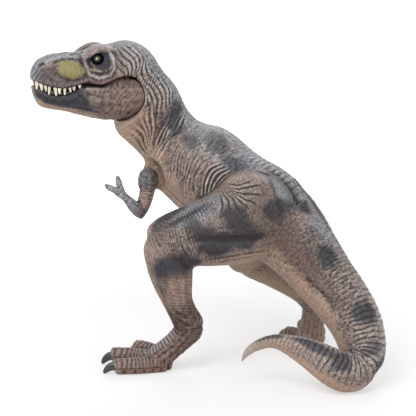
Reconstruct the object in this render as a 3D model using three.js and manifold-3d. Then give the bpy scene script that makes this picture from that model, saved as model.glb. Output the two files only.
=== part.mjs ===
// A toy dinosaur figure: a two-legged meat-eater moulded in PVC, standing on two feet and a curled tail.
// The jaw turns on a steel pin and each arm swivels on a peg; the other mouldings are plugged together at seams.
// Millimetres, +Z up. The snout points along -X and the animal's left side faces -Y.
import * as THREE from "three";
import { mergeVertices } from "three/addons/utils/BufferGeometryUtils.js";
import Module from "manifold-3d";

const wasm = await Module();
wasm.setup();

// Driving dimensions
const shoulderHeight = 100; // floor to the spine between the shoulders; the skeleton's places are shares of it
const trunkHalfDepth = 24.5; // back to belly, halved, at the deepest part of the ribs
const trunkHalfWidth = 22; // flank to flank, halved, at the widest part of the ribs
const thighHalfDepth = 24; // top to bottom of the hip muscle, halved
const thighHalfWidth = 15.5; // thickness of the hip muscle, halved
const shankHalfDepth = 11.5; // front to back of the calf, halved
const shankHalfWidth = 10.5; // thickness of the calf, halved
const armRadius = 5; // upper arm at the shoulder
const fingerRadius = 1.6;
const toeRadius = 4.4;
const clawLength = 8;
const clawRadius = 2.2;
const headLength = 42.5; // jaw pin to the tip of the snout
const headHalfWidth = 17.5; // jowl to jowl, halved
const jawOpening = 14; // degrees that the jaw swings down from its closed stop

// Fits and small fittings
const seamGap = 0.3; // between mouldings that are plugged together
const plugRadius = 5;
const plugLength = 8;
const tailPlugRadius = 3.6;
const jawLobeRadius = 12.4; // round back of the lower jaw, centred on the jaw pin
const jawClearance = 0.4;
const jawPinRadius = 1.25;
const jawPinLength = 22;
const pinClearance = 0.15;
const lugHalfWidth = 4; // skull lug that stands between the two lobes of the jaw
const lugRadius = 4.4;
const armPegRadius = 2.6;
const armPegLength = 6;
const armSeatRadius = 9.5; // flat round seat that the arm turns on
const eyeRadius = 2.4;
const lipWall = 0.7; // thickness of the lips outside the gums
const gumRadius = 1; // strip that carries a row of teeth
const gumSink = 0.6; // depth of the strip's middle inside the lip's edge
const toothRadius = 1;
const toothLength = 4.2; // longest tooth, outside its gum
const palateDrop = 1.9; // how far the palate hangs below the upper lip
const tongueRise = 1.4; // how far the tongue stands above the lower lip
const tongueSink = 1.2; // how deep it sits in the jaw

// Fineness of the curved faces
const trunkSides = 18;
const limbSides = 12;
const toeSides = 8;
const clawSides = 6;
const toothSides = 5;
const overrun = 1; // how far a cut passes the face it opens
const weldDistance = 1e-4;
const reach = 4 * shoulderHeight; // longer than the figure, for cutting blocks

const vinyl = new THREE.MeshStandardMaterial({ color: 0x8a6f62, roughness: 0.62, metalness: 0 });
const steel = new THREE.MeshStandardMaterial({ color: 0xb8bcc2, roughness: 0.3, metalness: 1 });
const ivory = new THREE.MeshStandardMaterial({ color: 0xe6e2c8, roughness: 0.4, metalness: 0 });
const eyeGloss = new THREE.MeshStandardMaterial({ color: 0x1a1a1c, roughness: 0.15, metalness: 0 });
const mouthPink = new THREE.MeshStandardMaterial({ color: 0x6d2430, roughness: 0.45, metalness: 0 });

const vector = (x, y, z) => new THREE.Vector3(x, y, z);
const shoulderPlace = ([x, y, z]) => vector(x, y, z).multiplyScalar(shoulderHeight);

// Solids

function toSolid(geometry) {
  const flat = geometry.index ? geometry.toNonIndexed() : geometry;
  const bare = new THREE.BufferGeometry().setAttribute("position", flat.getAttribute("position"));
  const merged = mergeVertices(bare, weldDistance);
  return new wasm.Manifold(
    new wasm.Mesh({
      numProp: 3,
      vertProperties: merged.attributes.position.array,
      triVerts: new Uint32Array(merged.index.array),
    }),
  );
}

function toMesh(name, solid, material) {
  const made = solid.getMesh();
  const geometry = new THREE.BufferGeometry();
  geometry.setAttribute("position", new THREE.BufferAttribute(made.vertProperties, 3));
  geometry.setIndex(new THREE.BufferAttribute(made.triVerts, 1));
  geometry.computeVertexNormals();
  const mesh = new THREE.Mesh(geometry, material);
  mesh.name = name;
  return mesh;
}

const joined = (...solids) => solids.reduce((whole, piece) => whole.add(piece));

// Keeps the largest body, so that a sliver left by a cut doesn't stay with the piece.
function mainBody(solid) {
  return solid.decompose().reduce((best, body) => (body.volume() > best.volume() ? body : best));
}

// A closed tube through places, with a side, top and bottom radius at each, smoothed between them.
// dorsals point to the top of each ring; power 2 gives ellipses and more gives squarer rings.
// The rings stand square to the path, or to heading where it is given.
function limb({ places, radii, dorsals, rings, heading, sides = limbSides, power = 2, grow = 0 }) {
  const smooth = (points) => new THREE.CatmullRomCurve3(points, false, "catmullrom");
  const path = smooth(places);
  const size = smooth(radii);
  const tops = Array.isArray(dorsals) ? smooth(dorsals) : null;
  const rounded = (value) => Math.sign(value) * Math.abs(value) ** (2 / power);
  const points = [];
  for (let ring = 0; ring <= rings; ring++) {
    const share = ring / rings;
    const centre = path.getPoint(share);
    const ahead = heading ?? path.getTangent(share);
    const up = tops ? tops.getPoint(share) : dorsals.clone();
    up.addScaledVector(ahead, -up.dot(ahead)).normalize();
    const side = vector(0, 0, 0).crossVectors(ahead, up);
    const radius = size.getPoint(share);
    for (let corner = 0; corner < sides; corner++) {
      const angle = (2 * Math.PI * corner) / sides;
      const height = rounded(Math.sin(angle));
      const across = rounded(Math.cos(angle)) * (radius.x + grow);
      const rise = height * ((height > 0 ? radius.y : radius.z) + grow);
      points.push(centre.clone().addScaledVector(side, across).addScaledVector(up, rise));
    }
  }
  const first = points.length;
  points.push(path.getPoint(0), path.getPoint(1));
  const faces = [];
  for (let corner = 0; corner < sides; corner++) {
    const next = (corner + 1) % sides;
    for (let ring = 0; ring < rings; ring++) {
      const near = ring * sides;
      const far = near + sides;
      faces.push(near + corner, far + corner, far + next, near + corner, far + next, near + next);
    }
    const last = rings * sides;
    faces.push(first, corner, next, first + 1, last + next, last + corner);
  }
  const geometry = new THREE.BufferGeometry().setFromPoints(points);
  geometry.setIndex(faces);
  return toSolid(geometry);
}

// A limb from a table of place shares of the shoulder height, then radius shares of a side and a depth size.
function limbFromShares(tableShares, sideSize, depthSize, settings) {
  return limb({
    places: tableShares.map(([x, y, z]) => shoulderPlace([x, y, z])),
    radii: tableShares.map(([, , , side, top, bottom]) =>
      vector(side * sideSize, top * depthSize, (bottom ?? top) * depthSize),
    ),
    ...settings,
  });
}

// A geometry that was made along +Y, turned to axis and moved to place.
function placed(geometry, place, axis) {
  const turn = new THREE.Quaternion().setFromUnitVectors(vector(0, 1, 0), axis.clone().normalize());
  return geometry.applyQuaternion(turn).translate(place.x, place.y, place.z);
}

// A rod centred on place, along axis.
const rod = (radius, length, place, axis, sides = limbSides) =>
  toSolid(placed(new THREE.CylinderGeometry(radius, radius, length, sides), place, axis));

// The half of space that lies past a plane, as a large block.
function beyond(place, axis) {
  const block = new THREE.BoxGeometry(reach, reach, reach).translate(0, reach / 2, 0);
  return toSolid(placed(block, place, axis));
}

const beyondSeam = (place, axis) => beyond(place.clone().addScaledVector(axis, seamGap), axis);

// Trunk: neck, ribs and tail as one form, which the seams divide

// x, y and z as shares of the shoulder height, then side, top and bottom radius shares of the trunk's.
const trunkShares = [
  [-0.56, 0.18, 1.515, 0.25, 0.3, 0.2],
  [-0.53, 0.185, 1.49, 0.55, 0.57, 0.3],
  [-0.48, 0.19, 1.45, 0.63, 0.75, 0.45],
  [-0.425, 0.2, 1.4, 0.66, 0.8, 0.6],
  [-0.37, 0.2, 1.34, 0.65, 0.73, 0.76],
  [-0.306, 0.22, 1.252, 0.64, 0.75, 0.85],
  [-0.246, 0.235, 1.167, 0.62, 0.66, 0.77],
  [-0.195, 0.23, 1.106, 0.68, 0.64, 0.76],
  [-0.154, 0.215, 1.056, 0.79, 0.73, 0.79],
  [-0.092, 0.19, 0.998, 0.92, 0.86, 0.94],
  [-0.015, 0.155, 0.952, 1, 0.92, 1],
  [0.061, 0.11, 0.893, 1, 0.92, 0.98],
  [0.151, 0.06, 0.831, 0.95, 0.93, 0.95],
  [0.261, 0, 0.756, 0.88, 1.04, 0.9],
  [0.383, -0.07, 0.669, 0.8, 0.88, 0.78],
  [0.479, -0.14, 0.568, 0.69, 0.74, 0.66],
  [0.564, -0.21, 0.461, 0.6, 0.66, 0.57],
  [0.641, -0.28, 0.367, 0.55, 0.63, 0.51],
  [0.698, -0.35, 0.28, 0.5, 0.59, 0.46],
  [0.73, -0.415, 0.196, 0.455, 0.52, 0.43],
  [0.735, -0.47, 0.13, 0.43, 0.45, 0.42],
  [0.692, -0.52, 0.096, 0.4, 0.37, 0.41],
  [0.633, -0.55, 0.103, 0.385, 0.37, 0.4],
  [0.566, -0.56, 0.139, 0.365, 0.35, 0.36],
  [0.492, -0.545, 0.18, 0.31, 0.3, 0.3],
  [0.419, -0.515, 0.208, 0.245, 0.23, 0.23],
  [0.355, -0.485, 0.224, 0.18, 0.168, 0.168],
  [0.294, -0.46, 0.222, 0.137, 0.124, 0.124],
  [0.229, -0.44, 0.192, 0.11, 0.1, 0.1],
  [0.186, -0.43, 0.155, 0.077, 0.07, 0.07],
  [0.161, -0.42, 0.108, 0.014, 0.012, 0.012],
];
const upright = vector(0, 0, 1);
// The tail bends to its left where it meets the floor, so its back turns from facing +X to facing up.
const bendStation = 20;
const trunkDorsals = trunkShares.map((_, station) => {
  if (station < bendStation - 6) return upright.clone();
  if (station < bendStation) return vector(0.6, 0.2, 0.8);
  if (station === bendStation) return vector(0.7, -0.1, 0.7);
  return vector(0.15, 0.1, 1);
});
const trunkRings = 54;
const trunk = (grow) =>
  limbFromShares(trunkShares, trunkHalfWidth, trunkHalfDepth, {
    dorsals: trunkDorsals,
    rings: trunkRings,
    sides: trunkSides,
    power: 2.15,
    grow,
  });

const spineCurve = new THREE.CatmullRomCurve3(trunkShares.map(shoulderPlace), false, "catmullrom");
// Where the trunk is divided, as a station number of its table.
function spineSeam(station) {
  const share = station / (trunkShares.length - 1);
  return { place: spineCurve.getPoint(share), axis: spineCurve.getTangent(share) };
}
const tailRootSeam = spineSeam(15);
const tailBendSeam = spineSeam(bendStation);
const hipSection = spineSeam(13);
const chestSection = spineSeam(9);

// Head, in its own frame: x forward, y left, z up, with the jaw pin along y through the origin

const headYaw = THREE.MathUtils.degToRad(18); // the head looks back towards the animal's left
const headPlace = shoulderPlace([-0.483, 0.183, 1.327]);
const headForward = vector(-Math.cos(headYaw), -Math.sin(headYaw), 0);
const headLeft = vector(Math.sin(headYaw), -Math.cos(headYaw), 0);
const headMatrix = new THREE.Matrix4().makeBasis(headForward, headLeft, upright).setPosition(headPlace);
const inHead = (x, y, z) => vector(x, y, z).applyMatrix4(headMatrix);
const headPoint = ([x, y, z]) => inHead(x * headLength, y * headHalfWidth, z * headLength);

// A form along the head: forward share, top and bottom height shares of the head length, half width share.
function headForm(formShares, { rings, grow = 0, power = 2.5, sides = trunkSides }) {
  return limb({
    places: formShares.map(([x, top, bottom]) => headPoint([x, 0, (top + bottom) / 2])),
    radii: formShares.map(([, top, bottom, side]) =>
      vector(side * headHalfWidth, ((top - bottom) / 2) * headLength, ((top - bottom) / 2) * headLength),
    ),
    dorsals: upright,
    heading: headForward,
    rings,
    sides,
    power,
    grow,
  });
}

const skullShares = [
  [-0.44, 0.4, 0.05, 0.42],
  [-0.38, 0.52, -0.1, 0.68],
  [-0.28, 0.585, -0.22, 0.88],
  [-0.16, 0.62, -0.3, 0.99],
  [-0.02, 0.605, -0.31, 1],
  [0.1, 0.6, -0.29, 0.96],
  [0.19, 0.61, -0.27, 0.88],
  [0.28, 0.56, -0.25, 0.73],
  [0.38, 0.52, -0.22, 0.63],
  [0.5, 0.515, -0.18, 0.58],
  [0.64, 0.51, -0.15, 0.55],
  [0.78, 0.49, -0.12, 0.5],
  [0.88, 0.45, -0.08, 0.42],
  [0.945, 0.385, 0.02, 0.3],
  [0.98, 0.3, 0.15, 0.13],
];
// Brow ridge over each eye: forward, left and up, then its radius as a share of the head's half width.
const browShares = [
  [0.41, 0.55, 0.455, 0.05],
  [0.34, 0.59, 0.485, 0.1],
  [0.26, 0.61, 0.52, 0.13],
  [0.17, 0.6, 0.545, 0.13],
  [0.08, 0.58, 0.545, 0.1],
  [0.02, 0.57, 0.52, 0.04],
];
const jawShares = [
  [-0.32, 0.18, -0.16, 0.86],
  [-0.2, 0.24, -0.26, 0.95],
  [-0.05, 0.25, -0.3, 0.96],
  [0.08, 0.24, -0.3, 0.9],
  [0.22, 0.22, -0.28, 0.76],
  [0.38, 0.2, -0.24, 0.62],
  [0.55, 0.18, -0.19, 0.5],
  [0.7, 0.18, -0.155, 0.44],
  [0.84, 0.18, -0.13, 0.38],
  [0.91, 0.19, -0.08, 0.3],
  [0.95, 0.2, 0.01, 0.2],
  [0.972, 0.18, 0.08, 0.1],
];
// Lip lines from the snout back to the corner of the mouth: forward and height shares of the head length.
const upperLipShares = [
  [1.2, 0.23],
  [0.985, 0.212],
  [0.915, 0.186],
  [0.8, 0.144],
  [0.647, 0.111],
  [0.525, 0.13],
  [0.402, 0.17],
  [0.346, 0.178],
  [0.275, 0.152],
  [0.207, 0.15],
  [0.127, 0.182],
  [0.03, 0.23],
  [-0.07, 0.252],
  [-0.15, 0.25],
  [-0.22, 0.215],
];
const lowerLipShares = [
  [1.2, 0.14],
  [0.985, 0.135],
  [0.94, 0.12],
  [0.8, 0.03],
  [0.68, 0.005],
  [0.522, 0.024],
  [0.424, 0.087],
  [0.36, 0.128],
  [0.275, 0.11],
  [0.207, 0.108],
  [0.127, 0.135],
  [0.03, 0.182],
  [-0.07, 0.21],
  [-0.15, 0.2],
  [-0.22, 0.165],
];
const mouthArcSteps = 14;
const jawCornerAngle = THREE.MathUtils.degToRad(-72); // where the jaw's round back meets the throat
const throatMargin = 8; // degrees between the open jaw and the throat
const throatAngle = jawCornerAngle - THREE.MathUtils.degToRad(jawOpening + throatMargin);

// Everything below a lip line and in front of the jaw's round back, as one block across the head.
function belowLip(lipShares, radius, cornerAngle) {
  const outline = lipShares.map(([x, z]) => new THREE.Vector2(x * headLength, z * headLength));
  const corner = outline[outline.length - 1];
  const start = Math.atan2(corner.y, corner.x);
  const sweep = 2 * Math.PI + cornerAngle - start;
  for (let step = 0; step <= mouthArcSteps; step++) {
    const angle = start + (sweep * step) / mouthArcSteps;
    outline.push(new THREE.Vector2(radius * Math.cos(angle), radius * Math.sin(angle)));
  }
  const below = -2 * headLength;
  outline.push(new THREE.Vector2(radius * Math.cos(cornerAngle), below));
  outline.push(new THREE.Vector2(lipShares[0][0] * headLength, below));
  const across = 4 * headHalfWidth;
  const block = new THREE.ExtrudeGeometry(new THREE.Shape(outline), { depth: across, bevelEnabled: false });
  block.translate(0, 0, -across / 2);
  const side = new THREE.Matrix4().makeBasis(headForward, upright, headLeft.clone().negate());
  return toSolid(block.applyMatrix4(side.setPosition(headPlace)));
}

// The skull and the neck share one seam, behind the jowls.
const neckSeamPlace = shoulderPlace([-0.275, 0.215, 1.365]);
const neckSeamAxis = vector(0.61, 0.04, -0.79).normalize();
const skullForm = joined(
  headForm(skullShares, { rings: 22 }),
  ...[1, -1].map((hand) =>
    limb({
      places: browShares.map(([x, y, z]) => headPoint([x, hand * y, z])),
      radii: browShares.map(([, , , share]) => vector(share, share, share).multiplyScalar(headHalfWidth)),
      dorsals: upright,
      rings: 8,
      sides: toeSides,
    }),
  ),
);
const jawForm = headForm(jawShares, { rings: 16 });
const jawCut = belowLip(upperLipShares, jawLobeRadius + jawClearance, throatAngle);

// A value on a lip line, or on a head form, at a forward share of the head length.
function along(rows, x, column) {
  const past = rows.findIndex(([rowX]) => (rows[0][0] < rows[1][0] ? rowX >= x : rowX <= x));
  const before = rows[past - 1];
  const after = rows[past];
  const share = (x - before[0]) / (after[0] - before[0]);
  return before[column] + share * (after[column] - before[column]);
}
const lipHeight = (lipShares, x) => along(lipShares, x, 1) * headLength;
const halfWidth = (formShares, x) => along(formShares, x, 3) * headHalfWidth;

// A mouth's row of teeth: a gum strip set into a groove inside the lip, bent round the front of the mouth,
// with a pointed tooth at each place. A tooth is a forward share of the head length and a length share.
const gumForwardShares = [0.4, 0.48, 0.58, 0.69, 0.79, 0.87, 0.925];
const gumRings = 18;
function toothRow({ formShares, lipShares, toothShares, upwards }) {
  const inset = lipWall + seamGap + gumRadius;
  const gumAt = (x, hand) => {
    const side = hand * Math.max(halfWidth(formShares, x) - inset, gumRadius);
    const place = headPoint([x, 0, 0]).addScaledVector(headLeft, side);
    return place.addScaledVector(upright, lipHeight(lipShares, x) - upwards * gumSink);
  };
  const places = [
    ...gumForwardShares.map((x) => gumAt(x, 1)),
    ...gumForwardShares.map((x) => gumAt(x, -1)).reverse(),
  ];
  const strip = (radius, reachOut) =>
    limb({
      places,
      radii: places.map(() => vector(radius, radius + reachOut, radius)),
      dorsals: upright.clone().multiplyScalar(upwards),
      rings: gumRings,
      sides: clawSides,
    });
  const teeth = [1, -1].flatMap((hand) =>
    toothShares.map(([x, share]) => {
      const length = share * toothLength + gumSink;
      const cone = new THREE.ConeGeometry(toothRadius, length, toothSides).translate(0, length / 2, 0);
      return toSolid(placed(cone, gumAt(x, hand), vector(0, 0, upwards)));
    }),
  );
  return { row: joined(strip(gumRadius, 0), ...teeth), groove: strip(gumRadius + seamGap, 2 * gumSink) };
}
const upperMouth = toothRow({
  formShares: skullShares,
  lipShares: upperLipShares,
  toothShares: [
    [0.92, 0.79],
    [0.88, 0.86],
    [0.835, 0.79],
    [0.785, 0.98],
    [0.73, 1],
    [0.675, 0.69],
    [0.615, 0.76],
    [0.56, 0.6],
    [0.505, 0.5],
    [0.45, 0.48],
  ],
  upwards: -1,
});
const lowerMouth = toothRow({
  formShares: jawShares,
  lipShares: lowerLipShares,
  toothShares: [
    [0.86, 0.38],
    [0.81, 0.43],
    [0.76, 0.45],
    [0.7, 0.45],
    [0.64, 0.43],
    [0.58, 0.38],
    [0.52, 0.33],
  ],
  upwards: 1,
});

// Mouth floor and roof: a shallow tray in the jaw that holds the tongue, and a palate that hangs above it
const mouthForwardShares = [0.38, 0.44, 0.55, 0.67, 0.79, 0.87];
const mouthSwellShares = [0.15, 0.65, 1, 1, 1, 0.8];
const mouthInset = lipWall + 2 * (gumRadius + seamGap) + lipWall;
const mouthPower = 4;
// The form stands proud of the lip by one size, up for 1 and down for -1, and runs into it by the other.
function mouthForm(formShares, lipShares, upwards, proud, sunk, inset) {
  return limb({
    places: mouthForwardShares.map((x) =>
      headPoint([x, 0, 0]).addScaledVector(upright, lipHeight(lipShares, x)),
    ),
    radii: mouthForwardShares.map((x, place) =>
      vector(halfWidth(formShares, x) - inset, proud * mouthSwellShares[place], sunk),
    ),
    dorsals: upright.clone().multiplyScalar(upwards),
    heading: headForward,
    rings: mouthForwardShares.length,
    sides: limbSides,
    power: mouthPower,
  });
}
const palate = mouthForm(skullShares, upperLipShares, -1, palateDrop, palateDrop, mouthInset);
const tongueTray = mouthForm(jawShares, lowerLipShares, 1, palateDrop, tongueSink + seamGap, mouthInset);
const tongue = mouthForm(jawShares, lowerLipShares, 1, tongueRise, tongueSink, mouthInset + seamGap);

const lugHeadShare = 0.3; // the lug runs up into the skull's base
const lugHeight = lugHeadShare * headLength;
const lug = joined(
  rod(lugRadius, 2 * lugHalfWidth, headPlace, headLeft),
  toSolid(
    new THREE.BoxGeometry(2 * lugRadius, 2 * lugHalfWidth, lugHeight)
      .translate(0, 0, lugHeight / 2)
      .applyMatrix4(headMatrix),
  ),
);
const slotHalfWidth = lugHalfWidth + jawClearance;
const slotDrop = lugRadius + jawClearance;
const slotLength = slotDrop + jawLobeRadius + overrun;
const slotHeight = slotDrop + headLength / 2;
const lugSlot = toSolid(
  new THREE.BoxGeometry(slotLength, 2 * slotHalfWidth, slotHeight)
    .translate(slotDrop - slotLength / 2, 0, slotHeight / 2 - slotDrop)
    .applyMatrix4(headMatrix),
);
const jawPin = rod(jawPinRadius, jawPinLength, headPlace, headLeft);
const jawPinHole = rod(jawPinRadius + pinClearance, jawPinLength + 2 * pinClearance, headPlace, headLeft);

const eyeShares = [0.24, 0.6, 0.455];
const eyeAt = (hand) => headPoint([eyeShares[0], hand * eyeShares[1], eyeShares[2]]);
const ball = (radius, place) =>
  toSolid(new THREE.SphereGeometry(radius, limbSides, toeSides).translate(place.x, place.y, place.z));
const eyeSockets = [1, -1].map((hand) => ball(eyeRadius + seamGap, eyeAt(hand)));

const neckPlug = rod(plugRadius, 2 * plugLength, neckSeamPlace, neckSeamAxis);
const neckSocket = rod(plugRadius + seamGap, 2 * (plugLength + seamGap), neckSeamPlace, neckSeamAxis);
const trunkForm = trunk(0);
const pastNeck = beyond(neckSeamPlace, neckSeamAxis);
const pastNeckSeam = beyondSeam(neckSeamPlace, neckSeamAxis);

const napeFrontShare = 0.25; // the neck is joined to the skull from here back
const behindFace = beyond(headPoint([napeFrontShare, 0, 0]), headForward.clone().negate());
const headBlock = joined(skullForm, trunkForm.intersect(behindFace));
const head = mainBody(
  joined(mainBody(headBlock.subtract(pastNeck).subtract(jawCut)), palate, lug, neckPlug)
    .subtract(upperMouth.groove)
    .subtract(jawPinHole)
    .subtract(eyeSockets[0])
    .subtract(eyeSockets[1]),
);
const lowerJaw = mainBody(
  jawForm
    .intersect(belowLip(lowerLipShares, jawLobeRadius, jawCornerAngle))
    .subtract(lugSlot)
    .subtract(jawPinHole)
    .subtract(lowerMouth.groove)
    .subtract(tongueTray),
);

// Legs

const clawRootShare = -0.25; // how far the claw's root starts inside the toe
const clawKneeShare = 0.55; // where along it the claw bends
const clawTaperShares = [0.5, 1, 0.72, 0.06];
const clawWidthShare = 0.8;

// A curved claw from a toe's end to its tip.
function claw(root, tip) {
  const middle = root.clone().lerp(tip, clawKneeShare).addScaledVector(upright, clawKneeShare * clawRadius);
  return limb({
    places: [root.clone().lerp(tip, clawRootShare), root, middle, tip],
    radii: clawTaperShares.map((share) =>
      vector(share * clawRadius * clawWidthShare, share * clawRadius, share * clawRadius),
    ),
    dorsals: upright,
    rings: 6,
    sides: clawSides,
  });
}

const toeTaperShares = [1, 0.98, 0.86, 0.42];
const toeTipShare = -0.22; // how far the flesh runs on past the claw's root
const toeSoleShare = 1.15; // underside of a toe against its sides

// A toe's flesh through a base, a knuckle and an end, as shares of the shoulder height.
function toeFlesh(placeShares) {
  const places = placeShares.map(shoulderPlace);
  const tip = places[2].clone().lerp(places[1], toeTipShare);
  return limb({
    places: [...places, tip],
    radii: toeTaperShares.map((share) =>
      vector(share * toeRadius, share * toeRadius, share * toeRadius * toeSoleShare),
    ),
    dorsals: upright,
    rings: 7,
    sides: toeSides,
  });
}

// The fourth place of a toe is where its claw points.
function toe([base, knuckle, end, aim]) {
  const root = shoulderPlace(end);
  const tip = shoulderPlace(aim).sub(root).setLength(clawLength).add(root);
  return joined(toeFlesh([base, knuckle, end]), claw(root, tip));
}

const floorBlock = beyond(vector(0, 0, 0), upright.clone().negate());
const trunkClearance = trunk(seamGap);

function leg({ thighShares, shankShares, footShares, toeShares, heelShares, thighTop, shankFront }) {
  const thigh = limbFromShares(thighShares, thighHalfWidth, thighHalfDepth, {
    dorsals: thighTop,
    rings: 15,
    sides: trunkSides,
    power: 2.1,
  });
  const lower = (tableShares, rings) =>
    limbFromShares(tableShares, shankHalfWidth, shankHalfDepth, { dorsals: shankFront, rings });
  const shank = lower(shankShares, 14);
  const foot = lower(footShares, 9);
  return joined(thigh, shank, foot, toeFlesh(heelShares), ...toeShares.map(toe)).subtract(floorBlock);
}

// A plug on the leg that seats in the trunk, square to the spine.
const hipSide = vector(0, 0, 0).crossVectors(hipSection.axis, upright).normalize();
const hipPlugDepthShare = 0.45; // how deep the plug's end lies, as a share of the trunk's half width
function hipPlug(hand, grow) {
  const inner = hipPlugDepthShare * trunkHalfWidth - grow;
  const length = plugLength + trunkHalfWidth - inner;
  const middle = hipSection.place.clone().addScaledVector(hipSide, hand * (inner + length / 2));
  return rod(plugRadius + grow, length, middle, hipSide);
}

const leftLegForm = leg({
  thighShares: [
    [0.42, -0.06, 0.79, 0.2, 0.25],
    [0.365, -0.1, 0.795, 0.62, 0.5, 0.6],
    [0.295, -0.12, 0.8, 0.9, 0.76, 0.9],
    [0.196, -0.15, 0.779, 1, 0.9, 1],
    [0.083, -0.18, 0.739, 1, 0.68, 0.93],
    [-0.024, -0.205, 0.698, 0.93, 0.65, 0.75],
    [-0.122, -0.22, 0.665, 0.8, 0.63, 0.58],
    [-0.205, -0.23, 0.635, 0.66, 0.58, 0.47],
    [-0.25, -0.23, 0.61, 0.4, 0.44, 0.28],
  ],
  shankShares: [
    [-0.225, -0.23, 0.71, 0.5, 0.42],
    [-0.215, -0.23, 0.66, 0.92, 0.92],
    [-0.198, -0.23, 0.585, 1.02, 0.98],
    [-0.181, -0.23, 0.504, 0.98, 0.96],
    [-0.167, -0.225, 0.427, 0.84, 0.81],
    [-0.147, -0.22, 0.35, 0.69, 0.64],
    [-0.118, -0.21, 0.281, 0.63, 0.62],
    [-0.09, -0.2, 0.225, 0.64, 0.66],
    [-0.075, -0.2, 0.19, 0.4, 0.4],
  ],
  footShares: [
    [-0.06, -0.2, 0.25, 0.35, 0.3],
    [-0.085, -0.2, 0.21, 0.66, 0.6],
    [-0.15, -0.2, 0.142, 0.62, 0.53],
    [-0.21, -0.2, 0.088, 0.74, 0.53],
    [-0.265, -0.2, 0.05, 0.9, 0.5],
    [-0.3, -0.2, 0.04, 0.6, 0.36],
  ],
  toeShares: [
    [
      [-0.21, -0.23, 0.04],
      [-0.33, -0.265, 0.04],
      [-0.435, -0.285, 0.043],
      [-0.52, -0.29, 0.02],
    ],
    [
      [-0.21, -0.19, 0.045],
      [-0.35, -0.155, 0.05],
      [-0.445, -0.14, 0.056],
      [-0.53, -0.14, 0.024],
    ],
    [
      [-0.21, -0.15, 0.045],
      [-0.3, -0.09, 0.062],
      [-0.345, -0.055, 0.066],
      [-0.39, -0.03, 0.03],
    ],
  ],
  heelShares: [
    [-0.23, -0.2, 0.04],
    [-0.195, -0.2, 0.036],
    [-0.18, -0.2, 0.034],
  ],
  thighTop: upright,
  shankFront: vector(-1, 0, 0.1),
});
const rightLegForm = leg({
  thighShares: [
    [0.43, 0.02, 0.77, 0.3, 0.3],
    [0.395, 0.055, 0.775, 0.75, 0.58],
    [0.345, 0.1, 0.755, 0.92, 0.74, 0.78],
    [0.29, 0.17, 0.68, 0.98, 0.74, 0.76],
    [0.25, 0.25, 0.585, 0.88, 0.62, 0.68],
    [0.22, 0.33, 0.49, 0.75, 0.54, 0.6],
    [0.205, 0.38, 0.42, 0.6, 0.42, 0.5],
    [0.2, 0.4, 0.38, 0.3, 0.24],
  ],
  shankShares: [
    [0.16, 0.42, 0.42, 0.35, 0.35],
    [0.21, 0.4, 0.415, 0.85, 0.7],
    [0.303, 0.355, 0.385, 0.9, 0.66],
    [0.407, 0.3, 0.335, 0.78, 0.6],
    [0.5, 0.25, 0.28, 0.66, 0.62],
    [0.55, 0.22, 0.23, 0.6, 0.6],
    [0.565, 0.21, 0.2, 0.35, 0.35],
  ],
  footShares: [
    [0.565, 0.21, 0.26, 0.3, 0.3],
    [0.56, 0.205, 0.22, 0.6, 0.56],
    [0.548, 0.19, 0.14, 0.58, 0.54],
    [0.54, 0.175, 0.08, 0.66, 0.55],
    [0.535, 0.18, 0.045, 0.8, 0.6],
    [0.535, 0.2, 0.03, 0.5, 0.36],
  ],
  toeShares: [
    [
      [0.53, 0.18, 0.038],
      [0.475, 0.24, 0.038],
      [0.435, 0.28, 0.037],
      [0.38, 0.34, 0.015],
    ],
    [
      [0.54, 0.2, 0.04],
      [0.53, 0.32, 0.042],
      [0.52, 0.4, 0.042],
      [0.51, 0.5, 0.015],
    ],
    [
      [0.55, 0.19, 0.036],
      [0.58, 0.265, 0.038],
      [0.59, 0.34, 0.037],
      [0.6, 0.42, 0.015],
    ],
  ],
  heelShares: [
    [0.54, 0.2, 0.04],
    [0.54, 0.14, 0.035],
    [0.54, 0.125, 0.035],
  ],
  thighTop: vector(0.6, 0.5, 0.62),
  shankFront: vector(-0.1, 0.75, -0.65),
});
const leftLeg = mainBody(joined(mainBody(leftLegForm.subtract(trunkClearance)), hipPlug(1, 0)));
const rightLeg = mainBody(joined(mainBody(rightLegForm.subtract(trunkClearance)), hipPlug(-1, 0)));

// Arms, which swivel on a flat seat cut square to the chest, at the end of the chest muscle

const chestSide = vector(0, 0, 0).crossVectors(chestSection.axis, upright).normalize();
const chestMuscleShares = [
  [-0.13, 0.225, 0.99, 1.9],
  [-0.21, 0.215, 0.945, 1.85],
  [-0.262, 0.195, 0.92, 1.6],
  [-0.282, 0.15, 0.91, 1.4],
  [-0.295, 0.12, 0.91, 1.3],
];
const shoulderShares = [-0.305, 0.1, 0.91];
const armSeatShare = 0.53; // from the middle of the chest to the seat, as a share of the trunk's half width
const sideways = (place) => place.clone().sub(chestSection.place).dot(chestSide);
// The middle of the upper arm lies its own radius outside the seat, whatever the width of the chest.
const armShift = armSeatShare * trunkHalfWidth + armRadius - sideways(shoulderPlace(shoulderShares));
const rightArmTurn = THREE.MathUtils.degToRad(24); // the right arm rests further back than the left
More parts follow.
